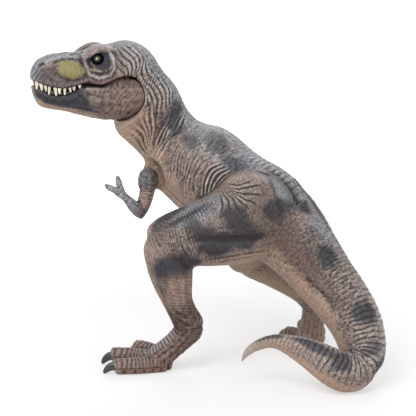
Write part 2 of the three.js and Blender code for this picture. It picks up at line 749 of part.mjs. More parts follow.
// A place on the left arm, or the same place on the right arm.
function armPoint(placeShares, hand, turn = rightArmTurn) {
  const leftPoint = (shares) => shoulderPlace(shares).addScaledVector(chestSide, armShift);
  if (hand > 0) return leftPoint(placeShares);
  const mirrored = (shares) => {
    const point = leftPoint(shares);
    return point.addScaledVector(chestSide, -2 * sideways(point));
  };
  const pivot = mirrored(shoulderShares);
  return mirrored(placeShares).sub(pivot).applyAxisAngle(chestSide, turn).add(pivot);
}
const upperArmShares = [
  [-0.281, 0.107, 0.958, 0.5],
  [-0.301, 0.099, 0.928, 1.12],
  [-0.306, 0.097, 0.888, 1.2],
  [-0.308, 0.092, 0.848, 0.96],
  [-0.321, 0.087, 0.793, 0.86],
  [-0.341, 0.079, 0.738, 0.7],
  [-0.348, 0.077, 0.716, 0.4],
];
const forearmShares = [
  [-0.331, 0.079, 0.713, 0.4],
  [-0.348, 0.076, 0.738, 0.68],
  [-0.381, 0.06, 0.778, 0.68],
  [-0.411, 0.047, 0.815, 0.5],
  [-0.441, 0.037, 0.846, 0.46],
  [-0.456, 0.032, 0.86, 0.25],
];
const fingerShares = [
  [
    [-0.426, 0.042, 0.828],
    [-0.466, 0.027, 0.861],
    [-0.499, 0.019, 0.88],
  ],
  [
    [-0.428, 0.045, 0.833],
    [-0.443, 0.047, 0.873],
    [-0.452, 0.049, 0.911],
  ],
];
const fingerTaperShares = [1.15, 1, 0.85, 0.12];
const fingerTipShare = -0.45; // how far the claw runs past the last joint
const armWidthShare = 0.85;
function arm(hand) {
  const segment = (armShares, rings) =>
    limb({
      places: armShares.map((row) => armPoint(row, hand)),
      radii: armShares.map(([, , , share]) =>
        vector(share * armRadius * armWidthShare, share * armRadius, share * armRadius),
      ),
      dorsals: chestSide,
      rings,
      sides: toeSides,
    });
  const fingers = fingerShares.map((placeShares) => {
    const places = placeShares.map((row) => armPoint(row, hand));
    return limb({
      places: [...places, places[2].clone().lerp(places[1], fingerTipShare)],
      radii: fingerTaperShares.map((share) => vector(share, share, share).multiplyScalar(fingerRadius)),
      dorsals: chestSide,
      rings: 8,
      sides: clawSides,
    });
  });
  return joined(segment(upperArmShares, 12), segment(forearmShares, 10), ...fingers);
}
const chestMuscle = (hand) =>
  limb({
    places: chestMuscleShares.map((row) => armPoint(row, hand, 0)),
    radii: chestMuscleShares.map(([, , , share]) => vector(share, share, share).multiplyScalar(armRadius)),
    dorsals: upright,
    rings: 7,
  });
const armAxis = (hand) => chestSide.clone().multiplyScalar(hand);
function armSeat(hand) {
  return armPoint(shoulderShares, hand).addScaledVector(armAxis(hand), -armRadius);
}
const armPeg = (hand, grow) =>
  rod(
    armPegRadius + grow,
    armPegLength + 2 * grow + overrun,
    armSeat(hand).addScaledVector(armAxis(hand), (overrun - armPegLength) / 2),
    armAxis(hand),
  );
const armPocket = (hand) =>
  rod(
    armSeatRadius,
    reach / 4,
    armSeat(hand).addScaledVector(armAxis(hand), reach / 8 - seamGap),
    armAxis(hand),
    trunkSides,
  );
const armPiece = (hand) =>
  mainBody(joined(mainBody(arm(hand).intersect(beyond(armSeat(hand), armAxis(hand)))), armPeg(hand, 0)));
const leftArm = armPiece(1);
const rightArm = armPiece(-1);

// The trunk's own mouldings

const tailRootPlug = rod(plugRadius, 2 * plugLength, tailRootSeam.place, tailRootSeam.axis);
const tailRootSocket = rod(
  plugRadius + seamGap,
  2 * (plugLength + seamGap),
  tailRootSeam.place,
  tailRootSeam.axis,
);
const tailBendPlug = rod(tailPlugRadius, plugLength, tailBendSeam.place, tailBendSeam.axis);
const tailBendSocket = rod(
  tailPlugRadius + seamGap,
  plugLength + 2 * seamGap,
  tailBendSeam.place,
  tailBendSeam.axis,
);
const pastTailRoot = beyond(tailRootSeam.place, tailRootSeam.axis);
const pastTailRootSeam = beyondSeam(tailRootSeam.place, tailRootSeam.axis);
const pastTailBend = beyond(tailBendSeam.place, tailBendSeam.axis);
const pastTailBendSeam = beyondSeam(tailBendSeam.place, tailBendSeam.axis);

const torso = mainBody(
  joined(trunkForm, skullForm.intersect(pastNeckSeam), chestMuscle(1), chestMuscle(-1))
    .intersect(pastNeckSeam)
    .subtract(pastTailRoot)
    .subtract(jawCut)
    .subtract(neckSocket)
    .subtract(tailRootSocket)
    .subtract(hipPlug(1, seamGap))
    .subtract(hipPlug(-1, seamGap))
    .subtract(armPocket(1))
    .subtract(armPocket(-1))
    .subtract(armPeg(1, seamGap))
    .subtract(armPeg(-1, seamGap)),
);
const aboveFloor = trunkForm.subtract(floorBlock);
const tailBase = mainBody(
  joined(mainBody(aboveFloor.intersect(pastTailRootSeam).subtract(pastTailBend)), tailRootPlug).subtract(
    tailBendSocket,
  ),
);
const tailEnd = mainBody(joined(mainBody(aboveFloor.intersect(pastTailBendSeam)), tailBendPlug));

const figure = new THREE.Group();
const pieces = [
  ["torso", torso, vinyl],
  ["head", head, vinyl],
  ["lower_jaw", lowerJaw, vinyl],
  ["jaw_pin", jawPin, steel],
  ["upper_teeth", upperMouth.row, ivory],
  ["lower_teeth", lowerMouth.row, ivory],
  ["tongue", tongue, mouthPink],
  ["left_eye", ball(eyeRadius, eyeAt(1)), eyeGloss],
  ["right_eye", ball(eyeRadius, eyeAt(-1)), eyeGloss],
  ["left_arm", leftArm, vinyl],
  ["right_arm", rightArm, vinyl],
  ["left_leg", leftLeg, vinyl],
  ["right_leg", rightLeg, vinyl],
  ["tail_base", tailBase, vinyl],
  ["tail_end", tailEnd, vinyl],
];
for (const [name, solid, material] of pieces) figure.add(toMesh(name, solid, material));

// The origin lies on the floor, under the middle of the figure.
const middle = new THREE.Box3().setFromObject(figure).getCenter(vector(0, 0, 0));
figure.position.set(-middle.x, -middle.y, 0);

export default figure;
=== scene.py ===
"""Skin, claws, teeth, eyes and studio of a toy dinosaur, made round its packed mouldings.

Sculpting is done in millimetres on numpy arrays; every mesh is written in metres.
"""

import functools
import itertools
import math

import bmesh
import bpy
import numpy as np
from bpy.props import FloatProperty, FloatVectorProperty, PointerProperty
from mathutils import Matrix, Vector
from mathutils.bvhtree import BVHTree


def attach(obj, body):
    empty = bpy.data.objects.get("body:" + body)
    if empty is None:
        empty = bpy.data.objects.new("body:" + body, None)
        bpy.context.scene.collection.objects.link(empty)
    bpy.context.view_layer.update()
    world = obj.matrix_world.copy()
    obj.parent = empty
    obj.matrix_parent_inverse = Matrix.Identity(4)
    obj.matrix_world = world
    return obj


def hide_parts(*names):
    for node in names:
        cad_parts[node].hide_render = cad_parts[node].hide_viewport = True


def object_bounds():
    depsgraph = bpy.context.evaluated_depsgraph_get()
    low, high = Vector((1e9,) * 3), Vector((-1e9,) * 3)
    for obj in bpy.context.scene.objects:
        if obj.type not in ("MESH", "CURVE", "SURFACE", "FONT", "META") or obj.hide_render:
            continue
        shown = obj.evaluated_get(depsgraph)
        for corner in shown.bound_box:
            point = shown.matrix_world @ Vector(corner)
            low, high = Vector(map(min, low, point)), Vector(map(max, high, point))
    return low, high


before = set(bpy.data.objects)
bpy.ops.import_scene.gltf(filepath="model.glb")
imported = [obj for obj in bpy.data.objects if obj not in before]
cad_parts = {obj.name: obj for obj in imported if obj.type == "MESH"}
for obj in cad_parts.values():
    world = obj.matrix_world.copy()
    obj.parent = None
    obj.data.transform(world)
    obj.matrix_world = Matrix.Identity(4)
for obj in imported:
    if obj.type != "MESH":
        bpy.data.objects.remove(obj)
cad_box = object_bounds()

bl_info = {
    "name": "Toy Dinosaur",
    "version": (1, 0, 0),
    "blender": (4, 5, 0),
    "location": "View3D > Sidebar > Toy Dinosaur",
    "description": "Sculpts and paints a toy dinosaur and fits its teeth, claws and eyes",
    "category": "Object",
}

MM = 0.001
WELD = 1e-6  # how near two points are run together, in m
MIDDLE = np.array([1.68, 1.62, 0.0])  # from the skeleton's own origin to the part's
FIXED_NODES = ("torso", "head", "left_leg", "right_leg", "tail_base", "tail_end")


# Fields over points


def ramp(values, start, end):
    """0 before start, 1 after end, and smooth between them."""
    share = np.clip((values - start) / (end - start), 0, 1)
    return share * share * (3 - 2 * share)


def hump(values, centre, width):
    """1 at the centre, falling smoothly to nothing about two widths away."""
    return np.exp(-(((values - centre) / width) ** 2))


def noise(points, size, seed):
    """Smooth random values from -1 to 1, with lumps about as wide as size."""
    cell = points / size
    base = np.floor(cell).astype(np.int64)
    part = cell - base
    part = part * part * (3 - 2 * part)
    total = np.zeros(len(points))
    for corner in itertools.product((0, 1), repeat=3):
        place = base + corner
        mixed = place[:, 0] * 73856093 ^ place[:, 1] * 19349663 ^ place[:, 2] * 83492791
        mixed = (mixed + seed * 40503) & 0x7FFFFFFF
        mixed = ((mixed >> 13) ^ mixed) * 1274126177 & 0x7FFFFFFF
        value = ((mixed >> 9) & 0xFFFF) / 32767.5 - 1
        weight = np.prod(np.where(corner, part, 1 - part), axis=1)
        total += weight * value
    return total


def stroke(across, up, line, width):
    """How far inside a drawn line each point lies: 1 on it, 0 beside it, thinning to its ends."""
    line = np.array(line, float)
    deep = np.zeros(len(across))
    low, high = line.min(0) - 3 * width, line.max(0) + 3 * width
    near = np.flatnonzero(
        (across > low[0]) & (across < high[0]) & (up > low[1]) & (up < high[1])
    )
    points = np.stack([across[near], up[near]], 1)
    length = np.linalg.norm(np.diff(line, axis=0), axis=1)
    start = np.concatenate([[0], np.cumsum(length)])
    best = np.full(len(near), 1e9)
    along = np.zeros(len(near))
    for first, last, step, before in zip(line[:-1], line[1:], length, start[:-1]):
        way = (last - first) / step
        share = np.clip((points - first) @ way, 0, step)
        gap = np.linalg.norm(points - first - share[:, None] * way, axis=1)
        closer = gap < best
        best[closer] = gap[closer]
        along[closer] = (before + share)[closer]
    total = start[-1]
    taper = ramp(along, 0, 0.25 * total) * ramp(total - along, 0, 0.25 * total)
    deep[near] = np.exp(-((best / width) ** 2)) * (0.25 + 0.75 * taper)
    return deep


COURSE_STEPS = 10  # points of a course between two stations


class Course:
    """A limb's middle line, which gives a point its place along and around the limb."""

    def __init__(self, stations, tops):
        ends = np.array(stations, float) + MIDDLE
        padded = np.vstack([2 * ends[0] - ends[1], ends, 2 * ends[-1] - ends[-2]])
        share = np.linspace(0, 1, COURSE_STEPS, endpoint=False)[:, None]
        bends = [
            0.5
            * (
                2 * b
                + (c - a) * share
                + (2 * a - 5 * b + 4 * c - d) * share**2
                + (3 * b - a - 3 * c + d) * share**3
            )
            for a, b, c, d in zip(padded, padded[1:], padded[2:], padded[3:])
        ]
        self.middle = np.vstack([*bends, ends[-1:]])
        run = np.linalg.norm(np.diff(self.middle, axis=0), axis=1)
        self.reached = np.concatenate([[0], np.cumsum(run)])
        self.ahead = np.gradient(self.middle, axis=0)
        self.ahead /= np.linalg.norm(self.ahead, axis=1)[:, None]
        tops = np.broadcast_to(np.array(tops, float), ends.shape)
        tops = np.repeat(tops, COURSE_STEPS, axis=0)[: len(self.middle)]
        across = np.sum(tops * self.ahead, axis=1)[:, None] * self.ahead
        self.top = tops - across
        self.top /= np.linalg.norm(self.top, axis=1)[:, None]
        self.left = np.cross(self.top, self.ahead)

    def locate(self, points):
        """Along in mm, around in degrees from the top, 1 or -1 for the side, and radius in mm."""
        nearest = np.empty(len(points), int)
        squares = np.sum(self.middle**2, axis=1)
        for start in range(0, len(points), 20000):
            block = points[start : start + 20000]
            nearest[start : start + 20000] = np.argmin(
                squares - 2 * block @ self.middle.T, axis=1
            )
        offset = points - self.middle[nearest]
        along = self.reached[nearest] + np.sum(offset * self.ahead[nearest], axis=1)
        height = np.sum(offset * self.top[nearest], axis=1)
        side = np.sum(offset * self.left[nearest], axis=1)
        radius = np.hypot(height, side)
        around = np.degrees(np.arctan2(np.abs(side), height))
        return along, around, np.sign(side), radius

    def beyond(self, along):
        """How far each place along the line lies past either of its ends, in mm."""
        return np.maximum(0, -along) + np.maximum(0, along - self.reached[-1])


SPINE = (
    (-56, 18, 151.5),
    (-53, 18.5, 149),
    (-48, 19, 145),
    (-42.5, 20, 140),
    (-37, 20, 134),
    (-30.6, 22, 125.2),
    (-24.6, 23.5, 116.7),
    (-19.5, 23, 110.6),
    (-15.4, 21.5, 105.6),
    (-9.2, 19, 99.8),
    (-1.5, 15.5, 95.2),
    (6.1, 11, 89.3),
    (15.1, 6, 83.1),
    (26.1, 0, 75.6),
    (38.3, -7, 66.9),
    (47.9, -14, 56.8),
    (56.4, -21, 46.1),
    (64.1, -28, 36.7),
    (69.8, -35, 28),
    (73, -41.5, 19.6),
    (73.5, -47, 13),
    (69.2, -52, 9.6),
    (63.3, -55, 10.3),
    (56.6, -56, 13.9),
    (49.2, -54.5, 18),
    (41.9, -51.5, 20.8),
    (35.5, -48.5, 22.4),
    (29.4, -46, 22.2),
    (22.9, -44, 19.2),
    (18.6, -43, 15.5),
    (16.1, -42, 10.8),
)
SPINE_TOPS = (
    [(0, 0, 1)] * 14 + [(0.6, 0.2, 0.8)] * 6 + [(0.7, -0.1, 0.7)] + [(0.15, 0.1, 1)] * 10
)


class HeadFrame:
    """Forward, left and up in mm from the jaw pin, as the head is turned."""

    yaw = math.radians(18)
    pin = np.array([-48.3, 18.3, 132.7]) + MIDDLE
    forward = np.array([-math.cos(yaw), -math.sin(yaw), 0])
    left = np.array([math.sin(yaw), -math.cos(yaw), 0])

    @classmethod
    def locate(cls, points):
        offset = points - cls.pin
        return offset @ cls.forward, offset @ cls.left, offset[:, 2]

    @classmethod
    def place(cls, forward, left, up):
        return cls.pin + forward * cls.forward + left * cls.left + np.array([0, 0, up])


JAW_OPENS = 14  # degrees


def swung(points, degrees):
    """Points turned about the jaw's pin as the jaw turns when it opens by so many degrees."""
    forward, _, up = HeadFrame.locate(points)
    turn = math.radians(degrees)
    ahead = (math.cos(turn) - 1) * forward + math.sin(turn) * up
    rise = (math.cos(turn) - 1) * up - math.sin(turn) * forward
    return points + ahead[:, None] * HeadFrame.forward + rise[:, None] * np.array([0, 0, 1])


# Meshes as arrays


class Shell:
    """A closed surface of four-sided faces, in millimetres, and the paint masks on its points."""

    def __init__(self, points, quads):
        self.points = points
        self.quads = quads
        self.masks = {}

    def normals(self):
        a, b, c, d = (self.points[self.quads[:, k]] for k in range(4))
        faces = np.cross(c - a, d - b)
        total = self.gather(faces)
        return total / np.maximum(np.linalg.norm(total, axis=1), 1e-12)[:, None]

    def gather(self, faces):
        """Sums a value on each face over the points at its corners."""
        total = np.zeros((len(self.points), faces.shape[1]))
        for corner in self.quads.T:
            for axis in range(faces.shape[1]):
                total[:, axis] += np.bincount(corner, faces[:, axis], len(self.points))
        return total

    def blur(self, values, rounds):
        """Values averaged with their neighbours', again and again."""
        flat = values.ndim == 1
        values = values[:, None] if flat else values
        count = self.gather(np.full((len(self.quads), 1), 4.0))
        for _ in range(rounds):
            sums = sum(values[corner] for corner in self.quads.T)
            values = self.gather(sums) / count
        return values[:, 0] if flat else values

    def relax(self, rounds, weight):
        """Draws each point towards its neighbours' middle."""
        weight = np.broadcast_to(weight, len(self.points))[:, None]
        self.points += weight * (self.blur(self.points, rounds) - self.points)

    def push(self, height):
        """Moves each point outwards by its height in mm."""
        self.points += self.normals() * height[:, None]


def applied(block):
    """The mesh that an object's modifiers make of its own, which goes with the object."""
    plain = block.data
    made = bpy.data.meshes.new_from_object(
        block.evaluated_get(bpy.context.evaluated_depsgraph_get())
    )
    bpy.data.objects.remove(block)
    bpy.data.meshes.remove(plain)
    return made


def remeshed(names, voxel, swell, extra=None):
    """The named nodes grown by swell, run together into one even surface, and shrunk back."""
    whole = bmesh.new()
    for name in names:
        node = bmesh.new()
        node.from_mesh(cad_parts[name].data)
        bmesh.ops.remove_doubles(node, verts=node.verts, dist=WELD)
        node.normal_update()
        for vertex in node.verts:
            vertex.co += vertex.normal * swell
        copy = bpy.data.meshes.new(name)
        node.to_mesh(copy)
        node.free()
        whole.from_mesh(copy)
        bpy.data.meshes.remove(copy)
    if extra:
        extra(whole)
    mesh = bpy.data.meshes.new("run_together")
    whole.to_mesh(mesh)
    whole.free()
    block = bpy.data.objects.new("run_together", mesh)
    bpy.context.collection.objects.link(block)
    modifier = block.modifiers.new("voxels", "REMESH")
    modifier.mode = "VOXEL"
    modifier.voxel_size = voxel
    fine = applied(block)
    points = np.empty(len(fine.vertices) * 3)
    fine.vertices.foreach_get("co", points)
    corners = np.empty(len(fine.loops), np.int32)
    fine.loops.foreach_get("vertex_index", corners)
    bpy.data.meshes.remove(fine)
    shell = Shell(points.reshape(-1, 3) / MM, corners.reshape(-1, 4))
    shell.push(np.full(len(shell.points), -swell / MM))
    return shell


# The limbs' lines, in the skeleton's own millimetres

LEGS = {
    "left_leg": {
        "hip": (42, -6, 79),
        "knee": (-25, -23, 61),
        "thigh_top": (0, 0, 1),
        "outward": (0.25, -0.97, 0),
        "shank": ((-22.5, -23, 71), (-19.8, -23, 58.5), (-16.7, -22.5, 42.7))
        + ((-11.8, -21, 28), (-8, -20, 20)),
        "foot": ((-6.5, -20, 25), (-10, -20, 19.5), (-15, -20, 14.2))
        + ((-21, -20, 8.8), (-26, -20, 5.5)),
        "front": (-1, 0, 0.1),
        "toes": (
            ((-21, -23, 4), (-33, -26.5, 4), (-43.5, -28.5, 4.3), (-52, -29, 2)),
            ((-21, -19, 4.5), (-35, -15.5, 5), (-44.5, -14, 5.6), (-53, -14, 2.4)),
            ((-21, -15, 4.5), (-30, -9, 6.2), (-34.5, -5.5, 6.6), (-39, -3, 3)),
        ),
    },
    "right_leg": {
        "hip": (43, 2, 77),
        "knee": (20.5, 39, 41),
        "thigh_top": (0.6, 0.5, 0.62),
        "outward": (0.35, 0.8, 0.45),
        "shank": ((16, 42, 42), (30.3, 35.5, 38.5), (40.7, 30, 33.5), (50, 25, 28), (56.5, 21, 20)),
        "foot": ((56.5, 21, 26), (56, 20.5, 22), (54.8, 19, 14), (54, 17.5, 8), (53.5, 20, 3)),
        "front": (-0.1, 0.75, -0.65),
        "toes": (
            ((53, 18, 3.8), (47.5, 24, 3.8), (43.5, 28, 3.7), (38, 34, 1.5)),
            ((54, 20, 4), (53, 32, 4.2), (52, 40, 4.2), (51, 50, 1.5)),
            ((55, 19, 3.6), (58, 26.5, 3.8), (59, 34, 3.7), (60, 42, 1.5)),
        ),
    },
}
# Lip lines as forward and up in mm from the jaw pin, from the corner of the mouth to the snout
UPPER_LIP = np.array(
    ((-9.4, 9.1), (-6.4, 10.6), (-3, 10.7), (1.3, 9.8), (5.4, 7.7), (8.8, 6.4), (11.7, 6.5))
    + ((14.7, 7.6), (17.1, 7.2), (22.3, 5.5), (27.5, 4.7), (34, 6.1), (38.9, 7.9), (41.9, 9))
).T
LOWER_LIP = np.array(
    ((-9.4, 7), (-6.4, 8.5), (-3, 8.9), (1.3, 7.7), (5.4, 5.7), (8.8, 4.6), (11.7, 4.7))
    + ((15.3, 5.4), (18, 3.7), (22.2, 1), (28.9, 0.2), (34, 1.3), (40, 5.1), (41.9, 5.7))
).T


# Relief of each region: how far the finished skin stands above the plain form, in mm


def drawn(across, up, lines, width):
    """Several strokes together, the deepest one where they meet."""
    deep = np.zeros(len(across))
    for line in lines:
        deep = np.maximum(deep, stroke(across, up, line, width))
    return deep


def rings(place, spacing):
    """Rounded ridges with narrow grooves between them."""
    return np.abs(np.sin(math.pi * place / spacing)) ** 0.7


NECK_RADIUS = 16
THROAT = (60, 124)  # along in mm and around in degrees: where the folds of the throat meet
THROAT_FOLDS = (
    (THROAT, (52, 117), (42, 108), (35, 92), (29.5, 74)),
    (THROAT, (50, 122), (40, 116), (33, 102)),
    (THROAT, (50, 127), (42, 125), (35, 120)),
    (THROAT, (52, 130), (43, 132), (35, 138)),
    (THROAT, (54, 134), (46, 141), (37, 150)),
    (THROAT, (56, 140), (49, 150), (41, 160)),
    (THROAT, (55, 108), (49, 84), (42, 62)),
    (THROAT, (57, 106), (53, 82), (47, 56)),
    (THROAT, (59, 108), (56, 84), (51, 55)),
    (THROAT, (61, 110), (59, 88), (55, 58)),
    (THROAT, (63, 112), (62, 92), (59, 66)),
)
NAPE_STRIPES = (
    ((43, 30), (47, 52), (51, 74)),
    ((46.5, 26), (50, 50), (53.5, 70)),
    ((50, 24), (53, 46), (56, 66)),
    ((53, 24), (55.5, 44), (58, 62)),
)
BELLY_FOLDS = (
    ((66, 128), (76, 132), (88, 128), (100, 118)),
    ((68, 140), (80, 145), (94, 142)),
    ((70, 152), (82, 157), (96, 156)),
)
HIP_TO_TAIL_FOLDS = (
    ((136, 160), (146, 148), (152, 138), (158, 124), (165, 110), (174, 106), (190, 103)),
    ((128, 140), (139, 142), (148, 130), (155, 112)),
)

RING_MARKS = np.arange(100, 340)
RING_TURNS = np.cumsum(1 / (2.4 - 0.5 * ramp(RING_MARKS, 225, 285)))


def on_neck(lines):
    """Lines with degrees around the trunk turned into millimetres of skin."""
    return [[(s, math.radians(a) * NECK_RADIUS) for s, a in line] for line in lines]


def flank_line(along, around):
    """Along the trunk in mm, bent so that it stays the same along one fold of the flank."""
    bend = 9 * np.logaddexp(0, (60 - around) / 9)
    return along - 0.22 * (around - 70) - 0.55 * bend


def flank_folds(fold, around):
    """Where the loose skin in front of the thigh lies in folds."""
    place = ramp(fold, 84, 94) * (1 - ramp(fold, 101, 104))
    return place * ramp(around, 42, 56) * (1 - ramp(around, 84, 98))


def trunk_relief(along, around, points):
    """Neck, ribs, rump and tail."""
    arc = np.radians(around) * NECK_RADIUS
    wave = noise(points, 5, 11)
    neck = ramp(along, 4, 9) * (1 - ramp(along, 34, 42))
    neck *= ramp(around, 24, 42) * (1 - ramp(around, 84, 100))
    high = neck * 0.85 * (rings(around + 4 * wave - 2.3 * along, 11.5) - 0.66)
    fan = ramp(along, 29, 32) * (1 - ramp(along, 62, 68))
    high += fan * 0.6 * drawn(along, arc, on_neck(THROAT_FOLDS[:6]), 0.85)
    high += fan * 0.36 * drawn(along + 0.4 * wave, arc, on_neck(THROAT_FOLDS[6:]), 0.7)
    high -= 0.45 * fan * ramp(around, 70, 90) * (1 - ramp(along, 56, 64))
    high -= 0.4 * drawn(along + 0.4 * wave, arc, on_neck(NAPE_STRIPES), 0.6)
    high += 0.9 * hump(along, 69, 10) * hump(around, 58, 30)
    high -= 0.35 * hump(along, 58, 3) * hump(around, 70, 30)
    fold = flank_line(along, around) + 0.5 * wave
    ridges = np.abs(np.sin(math.pi * fold / 2.3)) ** 2.4
    high += 0.72 * flank_folds(fold + 0.5 * wave, around) * (ridges - 0.45)
    high -= 0.4 * drawn(along, arc, on_neck(BELLY_FOLDS), 0.7)
    loose = drawn(along + wave, arc + noise(points, 8, 13), on_neck(HIP_TO_TAIL_FOLDS), 1.7)
    high -= 0.2 * loose
    ribs = ramp(along, 62, 72) * (1 - ramp(along, 88, 96)) * hump(around, 84, 34)
    high += 0.2 * ribs * (rings(flank_line(along, around) + 0.8 * wave, 2.4) - 0.6)
    tail = 0.3 * ramp(along, 150, 170) + 0.7 * ramp(along, 176, 206)
    under = 1 - (1 - 0.5 * ramp(along, 212, 236)) * ramp(around, 76, 98)
    size = (0.42 - 0.22 * ramp(along, 225, 275)) * (0.8 + 0.35 * noise(points, 7, 12))
    turns = np.interp(along, RING_MARKS, RING_TURNS)
    rows = np.abs(np.sin(math.pi * (turns + 0.35 * wave))) ** 0.6
    high += tail * under * size * (rows - 0.62)
    crest = ramp(along, 78, 118) * (1 - ramp(along, 235, 262)) * hump(around, 7, 6)
    high += crest * 0.35 * (rings(along, 3.1) - 0.35)
    high -= ramp(along, 108, 118) * (1 - ramp(along, 146, 160)) * 0.5 * hump(around, 14, 5)
    return high


def limb_wrinkles(along, points, spacing, size, seed):
    """Fine wrinkles that run round a limb."""
    wave = noise(points, 3, seed)
    return size * (rings(along + 0.5 * wave * spacing, spacing) - 0.6)


HIP_CREASES = (
    ((31.5, 22.5), (24, 20.4), (16, 19.5)),
    ((31.5, 22), (24.5, 18), (17, 15.5)),
    ((31.5, 21.5), (26, 16), (20.5, 11.5)),
    ((32, 21), (28.5, 15.5), (25.5, 10)),
    ((33, 21), (31.2, 15.5), (30, 10.5)),
    ((34, 20.5), (34, 16), (34.5, 12)),
    ((35.5, 20), (37, 16), (39, 13)),
    ((31, 23.5), (25, 22.6), (19, 22.4)),
    ((30, 20.5), (26, 18.8), (21, 17.4)),
    ((29, 19.4), (26.5, 16.6), (23.5, 13.4)),
)
THIGH_VALLEYS = (
    ((68, 12.5), (58, 14.5), (48, 16.5), (38, 18.2)),
    ((56, 5), (46, 2), (36, -1), (26, -4), (16, -5)),
    ((27, 25), (21, 25.5), (15, 25), (10, 22), (9.5, 17), (9.6, 7.7), (10.5, 0)),
)
THIGH_FOLDS = (
    ((52, -7.5), (42, -9), (32, -10.5), (20, -13)),
    ((46, -11), (36, -12.6), (26, -14)),
)


def thigh_relief(reach, up, out, points):
    """The outer face of a thigh, with reach in mm from the hip towards the knee."""
    face = ramp(out, -2, 5)
    wave = noise(points, 6, 21)
    sway = 0.5 * noise(points, 4, 24)
    high = -0.25 * drawn(reach + sway, up - sway, HIP_CREASES, 0.5) * face
    high -= 0.75 * drawn(reach, up, THIGH_VALLEYS, 2.4) * face
    high -= 0.35 * drawn(reach, up, THIGH_FOLDS, 1.0)
    high += 0.6 * hump(reach, 44, 13) * hump(up, 10, 5) * face
    high += 0.5 * hump(reach, 34, 16) * hump(up, -6, 4) * face
    high += 0.09 * (rings(reach + 1.6 * wave, 1.5) - 0.6) * ramp(reach, 34, 50)
    return high


SHANK_ARC = 0.16  # mm of skin for each degree round the shank
SHANK_GROOVES = (
    ((4, 64), (14, 60), (24, 52), (32, 48)),
    ((38, 70), (42, 92), (44, 112)),
    ((43, 66), (47, 88), (48, 110)),
)


def shank_relief(along, around, points):
    lines = [[(s, a * SHANK_ARC) for s, a in line] for line in SHANK_GROOVES]
    high = -0.32 * drawn(along, around * SHANK_ARC, lines, 1.3)
    high += limb_wrinkles(along - 0.06 * around, points, 1.7, 0.13, 31)
    return high + 0.08 * noise(points, 1.5, 32)


def foot_relief(along, around, points):
    plates = 1 - ramp(around, 48, 66)
    high = plates * 0.45 * (rings(along, 2.0) - 0.5)
    cells = noise(points, 1.5, 41)
    sinews = rings(around + 6 * noise(points, 5, 42), 26)
    return high + (1 - plates) * (0.2 * cells + 0.17 * (sinews - 0.7))


def toe_relief(along, around, points):
    above = 1 - ramp(around, 78, 108)
    high = above * 0.34 * (rings(along + 0.35 * noise(points, 3, 44), 1.75) - 0.6)
    high -= 0.2 * hump(around + 4 * noise(points, 3, 43), 98, 8)
    pads = ramp(around, 100, 120)
    return high + pads * 0.5 * (rings(along + 1, 4.2) - 0.7)


BROW = ((17.5, 20.4), (14, 21.6), (10.5, 23.6), (7, 25.2), (3, 24.8), (0, 23.2))
SNOUT_EDGE = ((15.5, 20.3), (22, 20.4), (28, 20), (33, 18.8), (37.5, 16.2))
NOSTRIL = ((39, 15.6), (37.4, 16.9), (35.2, 17.6))
CHEEK_RIDGES = (
    ((17, 14.5), (14.5, 11.6), (10, 9.8), (5, 11.2), (2.6, 15.5), (3, 20), (5, 23)),
    ((16, 18.5), (15.4, 14), (13.5, 10)),
    ((-4.4, 22), (-6.2, 17.5), (-4.6, 12.5), (0, 11)),
)
CHEEK_HOLLOWS = (
    ((-0.8, 22.5), (-1.6, 18.5), (-0.8, 14)),
    ((14, 17), (12.8, 13.4), (9.6, 12.2), (6.4, 13.6), (5, 17)),
)
JAW_GROOVES = (
    ((30, -4.6), (22, -5.4), (14, -7)),
    ((22, -6.4), (14, -8), (7, -9.6)),
    ((-3.5, -8.5), (-6, -7.6)),
)


def head_relief(forward, left, up, points):
    side = ramp(np.abs(left), 3, 6)
    cells = noise(points, 1.6, 51) + 0.5 * noise(points, 3.5, 52)
    socket = np.hypot((forward - 9.8) / 5, (up - 18.8) / 4.2)
    oval = np.hypot((forward - 23.4) / 6.8, (up - 14.3 - 0.12 * (forward - 23.4)) / 4.4)
    high = -1.1 * np.exp(-(socket**2) * 1.2) * ramp(np.abs(left), 6, 9)
    high += side * 0.35 * hump(socket, 1.35, 0.2)
    high += side * 0.55 * (1 - ramp(oval, 0.2, 1.05))
    high -= side * 0.18 * hump(oval, 1.2, 0.2)
    high += side * 0.6 * stroke(forward, up, BROW, 1.1) * ramp(np.abs(left), 8, 10)
    high += side * 0.55 * stroke(forward, up, SNOUT_EDGE, 1.0)
    high += side * 0.45 * drawn(forward, up, CHEEK_RIDGES, 0.7)
    high -= side * 0.5 * drawn(forward, up, CHEEK_HOLLOWS, 1.1)
    high -= 0.8 * stroke(forward, up, NOSTRIL, 0.75) * ramp(np.abs(left), 2, 4)
    top = ramp(up, 19, 22) * ramp(forward, 12, 16)
    high += top * (0.6 * noise(points, 3, 53) + 0.35 * noise(points, 1.6, 54))
    wrinkled = ramp(forward, 36.5, 39)
    high += wrinkled * 0.25 * (rings(forward + 0.6 * up, 1.7) - 0.6)
    lip = np.interp(forward, *UPPER_LIP)
    notched = side * hump(up, lip + 1.6, 0.9) * ramp(forward, 12, 16)
    high += 0.1 * notched * (rings(forward, 1.9) - 0.5)
    return high + 0.09 * cells


def jaw_relief(forward, left, up, points):
    side = ramp(np.abs(left), 3, 6)
    high = -0.35 * side * drawn(forward, up, JAW_GROOVES, 0.8)
    lip = np.interp(forward, *LOWER_LIP)
    high += side * 0.2 * hump(up, lip - 1.3, 0.9) * ramp(forward, 8, 14)
    wave = noise(points, 4, 61)
    jowl = ramp(-forward, -14, 0)
    high += side * 0.1 * jowl * (rings(forward + 0.8 * up + 2 * wave, 2.6) - 0.6)
    high += side * 0.12 * noise(points, 2.2, 63)
    return high + 0.1 * noise(points, 1.6, 62)


# The skin: where each point lies, and what is worked into it

MOVING = ("lower_jaw", "left_arm", "right_arm")


